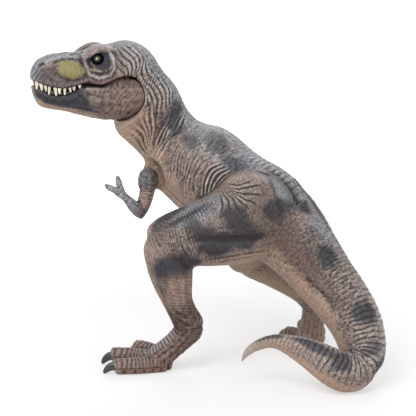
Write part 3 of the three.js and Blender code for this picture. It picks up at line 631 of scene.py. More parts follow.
def node_tree(*names):
    """A search tree over the named nodes' faces."""
    whole = bmesh.new()
    for name in names:
        whole.from_mesh(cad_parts[name].data)
    tree = BVHTree.FromBMesh(whole)
    whole.free()
    return tree


def gaps(points, tree, reach):
    """How far each point is from the tree's faces, in mm, and reach where nothing is as near."""
    found = (tree.find_nearest(point, reach * MM)[3] for point in (points * MM).tolist())
    return np.array([reach if gap is None else gap / MM for gap in found])


NECK_SEAM = ((-27.5, 21.5, 136.5), (0.61, 0.04, -0.79))
TAIL_ROOT_SEAM = ((47.9, -14, 56.8), (0.585, -0.453, -0.673))
TAIL_BEND_SEAM = ((73.5, -47, 13), (-0.254, -0.7, -0.667))


def past(points, seam):
    """How far past a seam's plane each point lies, in mm."""
    place, axis = np.array(seam, float)
    return (points - place - MIDDLE) @ (axis / np.linalg.norm(axis))


TOE_GROWTH = (2.0, 3.4, 2.2)  # how much longer each toe's skin is than its moulding, in mm


LEG_RADII = (15, 9.5, 8, 4.6)  # of the thigh, shank, foot and toes, in mm
TOE_JOINT = 2 * COURSE_STEPS  # the place in a toe's course from which its end is drawn out


class Leg:
    """A leg's thigh, shank, foot and toes, and which of them the skin's points belong to."""

    def __init__(self, name, shell, to_rest):
        lines = LEGS[name]
        self.hip = np.array(lines["hip"], float) + MIDDLE
        knee = np.array(lines["knee"], float) + MIDDLE
        self.length = np.linalg.norm(knee - self.hip)
        self.axis = (knee - self.hip) / self.length
        self.out = np.array(lines["outward"], float)
        self.out -= (self.out @ self.axis) * self.axis
        self.out /= np.linalg.norm(self.out)
        self.up = np.cross(self.out, self.axis)
        top = np.array(lines["thigh_top"], float)
        if self.up @ top < 0:
            self.up = -self.up
        front = lines["front"]
        self.shank = Course(lines["shank"], front)
        self.foot = Course(lines["foot"], front)
        self.toes = [Course(toe, (0, 0, 1)) for toe in lines["toes"]]
        self.away = gaps(shell.points, node_tree(name), 12)
        self.part = shell.blur((self.away < to_rest).astype(float), 6) > 0.5
        self.divide(shell.points[self.part])

    def thigh(self, points):
        """Mm from the hip towards the knee, up and outwards."""
        offset = points - self.hip
        return offset @ self.axis, offset @ self.up, offset @ self.out

    def divide(self, points):
        """Finds shares of thigh, shank, foot and nearest toe, and places on the last three."""
        reach, up, out = self.thigh(points)
        beyond = np.maximum(0, reach - self.length) + np.maximum(0, -reach)
        apart = [np.hypot(np.hypot(up, out), beyond)]
        toes = np.array([toe.locate(points) for toe in self.toes])
        self.nearest = np.argmin(toes[:, 3], axis=0)
        on_toe = toes[self.nearest, :, np.arange(len(points))].T
        self.places = []
        for course, (*place, gap) in (
            (self.shank, self.shank.locate(points)),
            (self.foot, self.foot.locate(points)),
            (self.toes[0], on_toe),
        ):
            self.places.append(place)
            apart.append(np.hypot(gap, course.beyond(place[0])))
        share = np.exp(-7 * np.array(apart) / np.array(LEG_RADII)[:, None])
        self.shares = share / share.sum(0)

    def toe_shift(self, points):
        """Moves that lengthen each toe and draw the moulded claw back inside the fitted one."""
        roots = np.array([toe.middle[TOE_JOINT] for toe in self.toes])[self.nearest]
        ways = np.array([toe.ahead[TOE_JOINT] for toe in self.toes])[self.nearest]
        offset = points - roots
        gone = np.sum(offset * ways, axis=1)
        aside = offset - gone[:, None] * ways
        level = ways * (1, 1, 0)
        grown = np.array(TOE_GROWTH)[self.nearest] * ramp(gone, -7, 0)
        shift = (grown - 0.85 * np.maximum(0, gone - 0.5))[:, None] * level
        return shift - (0.6 * ramp(gone, -0.5, 3))[:, None] * aside


def held(values):
    """Values kept between 0 and 1, as a mask needs them."""
    return np.clip(values, 0, 1)


def most(*values):
    """The largest of several values at each point."""
    return functools.reduce(np.maximum, values)


def blobs(across, up, places, soft=0.35):
    """Painted patches: middle across and up, half width, half height and strength of each."""
    total = np.zeros(len(across))
    for middle_x, middle_y, wide, high, strength in places:
        gap = np.hypot((across - middle_x) / wide, (up - middle_y) / high)
        total = np.maximum(total, strength * (1 - ramp(gap, 1 - soft, 1 + soft)))
    return total


# Arms

ARMS = {
    "left_arm": {
        "upper": ((-28.1, 10.7, 95.8), (-30.6, 9.7, 88.8), (-32.1, 8.7, 79.3), (-34.1, 7.9, 73.8)),
        "fore": ((-34.8, 7.6, 73.8), (-38.1, 6, 77.8), (-41.1, 4.7, 81.5), (-45.6, 3.2, 86)),
        "fingers": (
            ((-46.6, 2.7, 86.1), (-49.9, 1.9, 88)),
            ((-44.3, 4.7, 87.3), (-45.2, 4.9, 91.1)),
        ),
    },
    "right_arm": {
        "upper": ((-18.1, 39.2, 96.2), (-16.3, 40.6, 89), (-13, 40.8, 79.9), (-11.6, 41.8, 74.3)),
        "fore": ((-11.8, 42.5, 74.1), (-14.2, 46.6, 76.7), (-16.5, 50.2, 79.2))
        + ((-19.9, 55.1, 81.9),),
        "fingers": (
            ((-20.2, 56.2, 81.7), (-22.4, 59.3, 82.3)),
            ((-20.7, 53.4, 83.3), (-22.8, 54.4, 86.4)),
        ),
    },
}
CHEST_SIDE = (-0.396, -0.918, 0)
UPPER_ARM = 30  # mm along an arm at which its forearm starts


def arm_relief(name, points):
    """The relief of an arm, and each point's place along and around it."""
    upper = Course(ARMS[name]["upper"], CHEST_SIDE)
    fore = Course(ARMS[name]["fore"], CHEST_SIDE)
    first, second = upper.locate(points), fore.locate(points)
    share = ramp(first[3] - second[3], -1.5, 1.5)
    along = first[0] * (1 - share) + (second[0] + UPPER_ARM) * share
    around = first[1] * (1 - share) + second[1] * share
    high = limb_wrinkles(along, points, 1.9, 0.12, 81) + 0.16 * noise(points, 1.4, 83)
    high += 0.35 * ramp(along, 41, 45)
    return high, along, around


# Paint of each region: how thick each coat lies, mostly from 0 to 1

# The wash also paints shade into the hollows, and the dry brush paints highlights onto the ridges
# and the tops.
PAINTS = ("tan", "blue", "slate", "ruddy", "olive", "maroon", "black", "wash_and_shade", "dry_brush_and_highlight", "calm")
TRUNK_PATCHES = (
    (48, 56, 8, 26, 1),
    (57, 54, 4, 20, 0.9),
    (71, 50, 8, 11, 0.6),
    (84, 26, 7, 13, 0.6),
    (98, 34, 7, 12, 0.7),
    (108, 26, 10, 9, 0.6),
    (134, 38, 6, 17, 0.95),
    (147, 60, 5, 14, 0.45),
    (160, 57, 6.5, 23, 1),
    (193, 46, 6, 28, 1),
    (211, 32, 4.5, 26, 0.8),
    (231, 50, 5, 34, 0.95),
    (243, 42, 11, 24, 0.9),
    (264, 36, 7, 28, 0.8),
)
TAIL_STREAK = ((142, 38), (152, 35), (162, 30.5), (178, 28), (204, 27.5))
RUMP_STREAK = ((106, 7.5), (116, 5.6), (127, 4), (136, 3.6), (148, 5))


def arm_paint(along, points):
    drift = noise(points, 5, 82)
    swaying = along + 2.5 * drift
    upper = (0.4 + 0.4 * drift) * (1 - ramp(swaying, 6, 15))
    return {
        "slate": np.maximum(upper, 0.4 * hump(along + 2 * drift, 24, 5)),
        "blue": 0.75 * ramp(along, 24, 33) + 0.6 * (1 - ramp(swaying, 6, 14)),
        "tan": 0.55 * ramp(swaying, 9, 15) * (1 - ramp(along, 19, 26)),
    }


def trunk_paint(along, around, points):
    drift, small = noise(points, 9, 71), noise(points, 3, 72)
    edge = around + 9 * drift + 5 * small
    arc = np.radians(around) * NECK_RADIUS
    back = 1 - ramp(edge, 36, 62)
    back *= 1 - 0.75 * ramp(along, 145, 175)
    back *= 0.75 + 0.5 * noise(points, 11, 78)
    tail = ramp(along, 140, 160)
    lower = 98 + 12 * ramp(along, 125, 150) - 2 * ramp(along, 160, 185)
    lower += 4 * ramp(along, 205, 225)
    belly = ramp(edge, lower, lower + 16) * (1 - 0.25 * hump(along, 152, 14))
    belly = most(belly, 0.5 * ramp(along, 236, 262), 1.1 * ramp(along, 270, 284))
    streak = stroke(along + 2 * small, arc, TAIL_STREAK, 1.7)
    rump = stroke(along + small, arc + 0.8 * drift, RUMP_STREAK, 1.9)
    slate = np.maximum(blobs(along + 2 * small, edge, TRUNK_PATCHES), 0.95 * rump)
    pale = blobs(along, edge, ((126, 34, 10, 18, 0.7), (112, 8, 9, 6, 0.5)))
    warm = blobs(along, edge, ((150, 96, 20, 28, 1), (176, 88, 14, 16, 0.7)), 0.5) * (1 - slate)
    front = ramp(along, 28, 36) * (1 - ramp(along, 66, 74))
    front *= ramp(edge - 0.5 * (along - 45), 130, 158)
    throat = most(
        0.85 * front,
        0.85 * drawn(along, arc, on_neck(THROAT_FOLDS[:7]), 0.6),
        0.9 * blobs(along, around, ((61, 118, 6, 26, 1),)),
    )
    hollow = ramp(along, 30, 36) * (1 - ramp(along, 52, 60)) * hump(around, 122, 32) * (1 - throat)
    folds = flank_folds(flank_line(along, around), around)
    flank = (1 - ramp(along, 206, 226)) * ramp(around, 26, 42) * (1 - ramp(around, 80, 96))
    # Painted shade: the wash darkens the throat's hollow, the flank's folds and the warm patches.
    wash_and_shade = 0.4 * warm + 0.26 * hollow + 0.62 * folds - 0.08 * (1 - ramp(along, 30, 44))
    crest = ramp(along, 160, 190) * (1 - ramp(around, 8, 22))
    return {
        "tan": np.maximum(belly, 0.9 * throat),
        "blue": most(0.9 * back, 0.5 * slate, pale),
        "slate": np.maximum(slate, 0.2 * streak * tail),
        "ruddy": 0.85 * warm + 0.5 * hollow,
        "wash_and_shade": wash_and_shade + 0.18 * streak + 0.2 * tail * flank,
        # The dry brush, partly painted highlight, lies along the tail's crest and over its tip.
        "dry_brush_and_highlight": 0.75 * ramp(along, 268, 282) + 0.35 * crest,
        "calm": 0.75 * folds + 0.6 * warm + 0.4 * ramp(along, 226, 250),
    }


THIGH_PATCHES = (
    (33.5, 10, 6.5, 6.5, 1),
    (31, 3, 6.5, 5, 0.9),
    (43.5, -1, 10, 6.5, 1.15),
    (30, -2.5, 8.5, 4.5, 1),
    (50, 6, 5.5, 5.5, 1),
    (53.5, 11, 4, 4.5, 0.85),
    (13.5, 6.5, 6, 5, 0.95),
    (67, -7.5, 10, 7, 1),
    (60, -8, 6, 4, 0.9),
)
THIGH_TOP = ((56, 15.5, 15, 4.5, 0.85), (40, 17, 6, 3.5, 0.6))
THIGH_BROWN = ((24, 7, 17, 17, 1), (44, 4, 24, 12, 0.8))
THIGH_WARM = ((16, 4, 15, 14, 1), (50, 7, 8, 5, 0.6))
THIGH_TOP_LINES = (
    ((68, 12), (58, 14), (48, 16.3), (42, 17.5)),
    ((68, 15.4), (60, 16.6), (50, 18.6)),
)
THIGH_RIDGE = ((70, 17), (60, 18.6), (50, 20), (42, 21), (35, 23.5), (28, 25.6), (20, 26))


def leg_paint(leg, reach, up, near_side, points):
    """The near leg has dark patches; the far one is plain."""
    thigh, shank, foot, toes = leg.shares
    drift, small = noise(points, 7, 73), noise(points, 2.5, 74)
    patches = near_side * blobs(reach + 2 * small, up + 2 * drift, THIGH_PATCHES)
    (down, around, _), (_, foot_around, _), (toe_along, toe_around, _) = leg.places
    calf = (1 - ramp(down + 3 * drift, 17, 25)) * ramp(around + 8 * small, 34, 60)
    spot = blobs(down, around + 10 * small, ((24, 58, 7, 16, 0.6),))
    calf = near_side * np.maximum(calf, spot)
    middle = 1 - ramp(down, 40, 50)
    plates = 1 - ramp(foot_around + 10 * small, 46, 70)
    front = ramp(reach + 3 * drift, 62, 72) * (1 - ramp(up, 4, 9))
    under = 0.75 * (1 - ramp(up + 2 * small, -13, -8)) * (1 - ramp(reach, 54, 62))
    ridge = 0.85 * stroke(reach, up + 0.5 * small, THIGH_RIDGE, 1.7)
    lines = near_side * drawn(reach, up + 0.4 * small, THIGH_TOP_LINES, 0.8)
    patches = np.maximum(patches, 0.9 * lines)
    brown = near_side * blobs(reach + drift, up, THIGH_BROWN)
    warm = near_side * (1 - patches) * blobs(reach + drift, up + small, THIGH_WARM)
    return {
        "tan": thigh * most(0.3 * front + (1 - near_side), near_side * under, near_side * ridge)
        + shank * (0.5 + 0.4 * (1 - near_side)) * middle
        + 0.5 * (1 - near_side) * foot
        + 0.15 * toes,
        "blue": thigh * near_side * blobs(reach, up, THIGH_TOP)
        + foot * plates * (0.6 + 0.3 * drift)
        + shank * ramp(down, 42, 48) * (1 - ramp(around, 40, 70)) * 0.7
        + toes * (1 - ramp(toe_around, 50, 80)) * 0.3 * (1 - ramp(toe_along, 14, 24)),
        "slate": thigh * patches + shank * calf,
        "ruddy": foot * (0.9 - 0.6 * plates) * (0.5 + 0.5 * near_side)
        + 0.85 * toes
        + near_side * shank * (0.16 + 0.84 * ramp(down, 33, 43))
        + 0.4 * thigh * warm,
        # The wash, partly painted shade, darkens the thigh's brown patch, the lower shank and the
        # foot.
        "wash_and_shade": 0.38 * thigh * brown
        + near_side * shank * (0.24 + 0.34 * ramp(down, 32, 42))
        + near_side * foot * (0.26 + 0.1 * (1 - plates))
        + 0.1 * toes,
        "calm": 0.6 * shank * (1 - calf)
        + 0.35 * thigh * (warm + 0.4 * patches)
        + foot * (0.3 + 0.5 * plates),
    }


BROW_PAINT = ((21, 19.8), (16, 20.8), (11, 23), (7.5, 25))
JAW_STREAKS = (((20, -6.6), (12, -5.8), (5, -3.6), (1, -2.6)), ((-8, -8.6), (-5, -7.6), (-3, -7.8)))


def head_paint(forward, left, up, facing, points):
    drift, small = noise(points, 6, 75), noise(points, 2, 76)
    wide = np.abs(left)
    side = ramp(wide, 3, 6)
    lip = np.interp(forward, *UPPER_LIP)
    oval = np.hypot((forward - 23.4) / 7, (up - 14.2 - 0.12 * (forward - 23.4)) / 4.5)
    socket = np.hypot((forward - 8.3) / 4.6, (up - 17.9) / 5.2)
    outer = wide - np.interp(forward, (5, 12, 18, 24), (9.2, 9.4, 5.5, 4))
    brow = stroke(forward, up, BROW_PAINT, 1.1) * ramp(outer, -0.5, 0.8)
    muzzle = ramp(forward + drift, 12, 16) * side * (1 - ramp(up + 0.8 * small, 14, 17.5))
    top = ramp(up + 1.2 * drift + 0.7 * small, 17, 19.5)
    snout = ramp(forward, 36.5, 38.5) * ramp(up, 7, 9)
    hole = stroke(forward, up, NOSTRIL, 0.8)
    # Painted shade: the inside of the mouth, where it faces down, is painted black.
    inside = (1 - ramp(facing, -0.6, -0.35)) * ramp(forward, 8, 12) * (1 - ramp(up - lip, 2.5, 4))
    rim = side * hump(socket, 1.28, 0.16) * (1 - ramp(forward, 9, 12))
    temple = 1 - ramp(np.hypot((forward + 1.3) / 2.9, (up - 18.8) / 5.6), 0.7, 1.2)
    ridge = np.hypot((forward - 10.5) / 6.5, (up - 25 + 0.3 * np.abs(forward - 10)) / 3)
    crest = 0.9 * (1 - ramp(ridge, 0.6, 1.1)) * ramp(wide, 6.5, 8.5)
    behind = 1 - ramp(np.hypot((forward - 4.6) / 3, (up - 13.5) / 5), 0.6, 1.4)
    seam = hump(up, lip + 0.1, 0.7 + 0.5 * (1 - ramp(forward, 14, 18)))
    return {
        "blue": most(top, ramp(up + drift, 22, 25), 0.95 * snout, 0.6 * rim) * (1 - brow),
        "slate": most((0.6 + 0.25 * drift) * muzzle, 0.4 * side * temple, 0.55 * side * behind),
        "ruddy": side * most(0.8 * brow, crest, 0.75 * temple),
        # Painted highlight: the dry brush is paler over the top of the head.
        "dry_brush_and_highlight": 0.3 * ramp(up + drift, 20.5, 24),
        "olive": 0.95 * side * (1 - ramp(oval + 0.1 * small, 0.68, 1.22)),
        "black": most(side * (1 - ramp(socket, 0.75, 1.05)), inside, 0.7 * hole),
        "maroon": side * seam * (1 - ramp(forward, 36, 40)),
    }


def jaw_paint(forward, left, up, facing, points):
    drift, small = noise(points, 6, 77), noise(points, 2, 79)
    side = ramp(np.abs(left), 2, 4)
    lip = np.interp(forward, *LOWER_LIP)
    bottom = np.interp(forward, (0, 12, 20, 28, 36, 41), (-13, -9.4, -7.2, -5.6, -4.2, 0))
    band = ramp(up + 0.6 * drift, bottom + 0.8, bottom + 2.2)
    band *= ramp(forward + 1.5 * small - 0.6 * up, 12, 18)
    streak = stroke(forward, up + 0.6 * small, JAW_STREAKS[0], 1.3)
    streak = np.maximum(streak, 0.7 * stroke(forward, up, JAW_STREAKS[1], 0.8))
    under = (1 - ramp(up, bottom, bottom + 2.5)) * ramp(forward, 2, 10)
    # Painted shade: the inside of the lower jaw, where it faces up, is painted black.
    inside = ramp(facing, 0.45, 0.7) * ramp(forward, 4, 8)
    return {
        "ruddy": 0.5 * side * (1 - ramp(forward + 2 * drift, 6, 14)),
        # The wash, partly painted shade, darkens the rear of the jaw.
        "wash_and_shade": 0.2 * side * (1 - ramp(forward, 6, 14)),
        "tan": np.maximum(0.8 * under, 0.3 * (1 - ramp(forward, 0, 12))),
        "slate": side * np.maximum(band, 0.65 * streak),
        "maroon": 0.5 * side * hump(up, lip - 0.2, 0.8) * (1 - ramp(forward, 9, 13)),
        "black": np.maximum(inside, side * ramp(up, lip - 2.6, lip - 1.2) * ramp(forward, 15, 19)),
    }


def finish_paint(shell, found, high, free):
    """The found coats, with a dark wash and painted shade in the hollows and a dry brush with
    painted highlights over the ridges.

    free is 0 beside a piece that moves.
    """
    coats = {name: np.zeros(len(shell.points)) for name in PAINTS} | found
    masks = shell.masks = {name: held(values) for name, values in coats.items()}
    normals = shell.normals()
    fine = np.sum((shell.blur(shell.points, 3) - shell.points) * normals, axis=1)
    broad = np.sum((shell.blur(shell.points, 24) - shell.points) * normals, axis=1)
    relief = high - shell.blur(high, 8)
    # Painted shade in the hollows and painted highlights on the ridges, both found by the
    # curvature.
    wash_and_shade = 6 * fine + 0.7 * broad - 1.5 * relief
    dry_brush_and_highlight = -5 * fine - 0.3 * broad + 1.1 * relief
    calm = held(0.8 * masks["tan"] + masks["olive"] + 0.5 * masks["ruddy"] + masks["calm"])
    masks["calm"] = calm
    wash_and_shade = held(masks["wash_and_shade"] + 0.08 + wash_and_shade * (1 - 0.55 * calm))
    masks["wash_and_shade"] = wash_and_shade * (0.25 + 0.75 * free) * (1 - 0.6 * masks["black"])
    dry_brush_and_highlight = held(masks["dry_brush_and_highlight"] + 0.1 + dry_brush_and_highlight * (1 - 0.45 * calm))
    # Painted highlight: the dry brush is paler on faces that turn upwards, towards the light.
    dry_brush_and_highlight *= 0.4 + 0.6 * ramp(normals[:, 2], -0.7, 0.4)
    dulled = {"slate": 0.7, "black": 0.85, "olive": 0.55, "ruddy": 0.45, "maroon": 0.9}
    masks["dry_brush_and_highlight"] = dry_brush_and_highlight * (1 - most(*(share * masks[name] for name, share in dulled.items())))


# How far apart the rows of scales lie on the head and the legs, against the trunk
HEAD_GRAIN = 1.7
LEG_GRAIN = 1.15
# How shank, foot and toes count along, around and from side to side in the flow of scales
LANES = ((1, SHANK_ARC, 7), (1, 0.14, 7), (1.2, 0.1, 7))


class Body:
    """The head, trunk, tail and legs, which are worked as one surface."""

    def __init__(self, shell):
        self.shell = shell
        points = shell.points
        opened = gaps(swung(points, -JAW_OPENS), node_tree("lower_jaw"), 3)
        beside = ramp(gaps(points, node_tree(*MOVING), 3), 0.8, 2.2)
        self.free = np.minimum(beside, ramp(opened, 0.4, 1.6))
        self.to_rest = gaps(points, node_tree("torso", "head", "tail_base", "tail_end"), 12)
        self.spine = Course(SPINE, SPINE_TOPS).locate(points)[:3]
        self.head = HeadFrame.locate(points)
        self.legs = {name: Leg(name, shell, self.to_rest) for name in LEGS}
        near, far = self.legs.values()
        self.trunk = ~(near.part | far.part)
        self.near_hip = near.thigh(points)
        self.face = ramp(self.head[0], -6, 6) * ramp(-past(points, NECK_SEAM), -2, 4)
        self.on_face = self.trunk & (self.face > 0)

    def smooth(self):
        """Smooths the large forms, leaves the small ones crisp and lengthens the toes."""
        shell = self.shell
        points = shell.points
        strong = np.where(self.trunk, 1 - self.face, 0.0)
        strong *= 1 - ramp(self.spine[0], 225, 250)
        for leg in self.legs.values():
            strong[leg.part] = leg.shares[0]
        reach = shell.blur(strong, 10) * self.free
        near = shell.blur(points, 60)
        far = shell.blur(near, 60)
        crease = 1 - ramp(np.maximum(self.legs["left_leg"].away, self.to_rest), 3, 9)
        crease *= 1 - ramp(self.near_hip[0], 20, 30)
        sharpen = 1 - shell.blur(crease, 20)[:, None]
        smooth = near + (sharpen - 0.5 * (1 - sharpen)) * (near - far)
        shell.points = points + reach[:, None] * (smooth - points)
        shell.relax(5, 0.9 * self.free)
        for leg in self.legs.values():
            shell.points[leg.part] += leg.shares[3][:, None] * leg.toe_shift(points[leg.part])

    def relief(self, depth):
        """How far the skin stands above the plain form at each point, in mm."""
        points, trunk, face, on_face = self.shell.points, self.trunk, self.face, self.on_face
        along, around, side = self.spine
        high = np.zeros(len(points))
        high[trunk] = trunk_relief(along[trunk], around[trunk], points[trunk]) * (1 - face[trunk])
        on_head = (values[on_face] for values in self.head)
        high[on_face] += face[on_face] * head_relief(*on_head, points[on_face])
        for name, leg in self.legs.items():
            own = points[leg.part]
            thigh, shank, foot, toes = leg.shares
            down, on_foot, on_toe = leg.places
            if name == "left_leg":
                raised = thigh * thigh_relief(*leg.thigh(own), own)
            else:
                raised = thigh * limb_wrinkles(leg.thigh(own)[0], own, 2.4, 0.3, 22)
            raised += shank * shank_relief(down[0], down[1], own)
            raised += foot * foot_relief(on_foot[0], on_foot[1], own)
            raised += toes * toe_relief(on_toe[0], on_toe[1], own)
            high[leg.part] = raised
        wrinkle = noise(np.stack([along / 0.9, np.radians(around) * 13, side * 3], 1), 1, 91)
        high += np.where(trunk & (face < 0.5), 0.055 * wrinkle, 0)
        high += 0.055 * noise(points, 1.1, 92)
        for seam in (NECK_SEAM, TAIL_ROOT_SEAM, TAIL_BEND_SEAM):
            close = np.linalg.norm(points - (np.array(seam[0]) + MIDDLE), axis=1) < 30
            high -= np.where(trunk & close, 0.08 * hump(past(points, seam), 0, 0.35), 0)
        return high * (self.free * ramp(points[:, 2], 0.1, 1.2) * depth)

    def paint(self, high):
        """Lays every coat of paint, given the relief."""
        shell, trunk, face, on_face = self.shell, self.trunk, self.face, self.on_face
        points = shell.points
        along, around, _ = self.spine
        masks = {name: np.zeros(len(points)) for name in PAINTS}
        for name, values in trunk_paint(along[trunk], around[trunk], points[trunk]).items():
            masks[name][trunk] = values * (1 - face[trunk])
        on_head = (values[on_face] for values in (*self.head, shell.normals()[:, 2], points))
        for name, values in head_paint(*on_head).items():
            masks[name][on_face] += values * face[on_face]
        for name, leg in self.legs.items():
            part = leg.part
            own = points[part]
            reach, up, _ = leg.thigh(own)
            near_side = float(name == "left_leg")
            painted = leg_paint(leg, reach, up, near_side, own)
            above = trunk_paint(along[part], around[part], own)
            hip = near_side * (1 - ramp(reach + 2 * noise(own, 5, 93), 7, 13))
            for paint, mask in masks.items():
                mask[part] = painted.get(paint, 0) * (1 - hip) + above.get(paint, 0) * hip
        to_leg = np.minimum(*(leg.away for leg in self.legs.values()))
        crease = 1 - ramp(np.maximum(to_leg, self.to_rest), 2, 6)
        for paint in ("tan", "blue", "slate", "ruddy"):
            masks[paint] += crease * (shell.blur(masks[paint], 24) - masks[paint])
        finish_paint(shell, masks, high, self.free)

    def flow(self):
        """Places along, around and across the body, which the rows of scales follow."""
        points = self.shell.points
        along, around, side = self.spine
        flow = np.stack([along, np.radians(around) * NECK_RADIUS, side], 1)
        reach, up, out = self.near_hip
        by_hip = self.trunk & (reach > -9) & (np.hypot(reach, up) < 27) & (up > -12) & (out > 7)
        flow[by_hip] = LEG_GRAIN * np.stack(self.near_hip, 1)[by_hip]
        forward, left, up = self.head
        flow[self.on_face] = HEAD_GRAIN * np.stack([forward, up, left], 1)[self.on_face]
        for leg in self.legs.values():
            lanes = [leg.thigh(points[leg.part])]
            for place, counts in zip(leg.places, LANES):
                lanes.append([values * count for values, count in zip(place, counts)])
            main = np.argmax(leg.shares, axis=0)
            flow[leg.part] = LEG_GRAIN * np.array(lanes)[main, :, np.arange(len(main))]
        return flow

    def owner(self):
        """The piece that each point belongs to, as its place in FIXED_NODES."""
        points = self.shell.points
        along = self.spine[0]
        owner = np.full(len(points), FIXED_NODES.index("torso"))
        for name, where in (
            ("tail_base", past(points, TAIL_ROOT_SEAM) > 0),
            ("tail_end", (past(points, TAIL_BEND_SEAM) > 0) & (along > 140)),
            ("head", (past(points, NECK_SEAM) < 0) & (along < 60)),
            *((name, leg.part) for name, leg in self.legs.items()),
        ):
            owner[where] = FIXED_NODES.index(name)
        return owner


def lip_rise(forward, left, up, room):
    """How far the lower lip is raised towards the upper one, in the room that there is."""
    lip = np.interp(forward, *LOWER_LIP)
    rise = np.interp(forward, (-12, -9, 12, 16, 40), (0, 0.85, 0.85, 0.5, 0.4))
    rise = np.minimum(rise, np.maximum(0, room - 0.3))
    # The lobe's inner edge is lowered, so that it clears the skull when the jaw opens.
    inner = (1 - ramp(np.abs(left), 6, 7.5)) * (1 - ramp(forward, 0, 5))
    return (rise * (1 - inner) - 0.4 * inner) * ramp(up, lip - 4, lip - 0.8)


def clamp(shell):
    """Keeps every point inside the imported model's box."""
    low, high = (np.array(corner) / MM for corner in cad_box)
    shell.points = np.clip(shell.points, low, high)


# Meshes from arrays


def open_edges(quads, size):
    """The edges that have a face on one side only, as pairs of points with numbers below size."""
    pairs = np.concatenate([quads[:, [k, (k + 1) % 4]] for k in range(4)]).astype(np.int64)
    return pairs[~np.isin(pairs @ (size, 1), pairs @ (1, size))]


def boundary_loops(quads):
    """The open edges of a set of faces, as loops of points that run as the missing faces would."""
    open_pairs = open_edges(quads, int(quads.max()) + 1)
    onward = {int(b): int(a) for a, b in open_pairs}
    if len(onward) != len(open_pairs):
        raise RuntimeError("a skin touches itself at a point")
    loops = []
    while onward:
        start, here = onward.popitem()
        loop = [start]
        while here != start:
            loop.append(here)
            here = onward.pop(here)
        loops.append(loop)
    return loops


def face_owners(shell, owner):
    """Faces by owner, with crossings where two patches of one owner touch at a point given away."""
    owner = owner[shell.quads[:, 0]]
    size = len(shell.points)
    for _ in range(12):
        changed = False
        for piece in range(len(FIXED_NODES)):
            starts = open_edges(shell.quads[owner == piece], size)[:, 0]
            pinched = np.bincount(starts, minlength=size) > 1
            if pinched.any():
                owner[pinched[shell.quads].any(axis=1)] = piece
                changed = True
        if not changed:
            break
    return owner


def compact(quads):
    """The numbers of the points that the faces use, and the faces renumbered to match."""
    used, local = np.unique(quads, return_inverse=True)
    return used, local.reshape(quads.shape)


def largest(quads):
    """The faces of the largest connected part."""
    used, local = compact(quads)
    label = np.arange(len(used))
    while True:
        low = label[local].min(axis=1)
        fresh = label.copy()
        for corner in local.T:
            np.minimum.at(fresh, corner, low)
        fresh = fresh[fresh]
        if (fresh == label).all():
            break
        label = fresh
    counts = np.bincount(label[local[:, 0]])
    return quads[label[local[:, 0]] == counts.argmax()]


def skin_mesh(name, shell, quads):
    """A closed mesh of the given faces, each open loop filled with a fan."""
    loops = boundary_loops(quads)
    used, local = compact(quads)
    number = {int(point): place for place, point in enumerate(used)}
    middles = np.array([shell.points[loop].mean(axis=0) for loop in loops]).reshape(-1, 3)
    fans = [
        (number[a], number[b], len(used) + place)
        for place, loop in enumerate(loops)
        for a, b in zip(loop, loop[1:] + loop[:1])
    ]
    corners = np.concatenate([local.ravel(), np.array(fans, int).ravel()]).astype(np.int32)
    sides = np.array([4] * len(local) + [3] * len(fans), np.int32)
    mesh = bpy.data.meshes.new(name)
    mesh.vertices.add(len(used) + len(middles))
    places = np.vstack([shell.points[used], middles]) * MM
    mesh.vertices.foreach_set("co", places.ravel())
    mesh.loops.add(len(corners))
    mesh.loops.foreach_set("vertex_index", corners)
    mesh.polygons.add(len(sides))
    mesh.polygons.foreach_set("loop_start", np.cumsum(sides, dtype=np.int32) - sides)
    mesh.update(calc_edges=True)
    mesh.shade_smooth()
    rim = np.zeros(len(places), bool)
    rim[[number[point] for loop in loops for point in loop]] = True
    ends = np.empty(len(mesh.edges) * 2, np.int32)
    mesh.edges.foreach_get("vertices", ends)
    sharp = mesh.attributes.new("sharp_edge", "BOOLEAN", "EDGE")
    sharp.data.foreach_set("value", rim[ends.reshape(-1, 2)].all(axis=1))
    bare = np.zeros(len(shell.points))
    for paint in PAINTS:
        values = shell.masks.get(paint, bare)[used]
        layer = mesh.attributes.new(paint, "FLOAT", "POINT")
        layer.data.foreach_set("value", np.concatenate([values, np.zeros(len(middles))]))
    layer = mesh.attributes.new("flow", "FLOAT_VECTOR", "POINT")
    layer.data.foreach_set("vector", np.vstack([shell.flow[used], middles]).ravel())
    return mesh


def new_object(name, mesh, body, replaced, material=None):
    """Puts a finished mesh in the scene, in place of some nodes and on their body."""
    piece = bpy.data.objects.new(name, mesh)
    bpy.context.collection.objects.link(piece)
    if material:
        mesh.materials.clear()
        mesh.materials.append(material)
    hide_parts(*replaced)
    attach(piece, body)


# Materials


def srgb(red, green, blue):
    """A colour given from 0 to 255, as the linear values that Blender keeps."""
    shares = (value / 255 for value in (red, green, blue))
    return tuple(s / 12.92 if s <= 0.04045 else ((s + 0.055) / 1.055) ** 2.4 for s in shares)


def rgba(colour):
    return (*colour, 1)


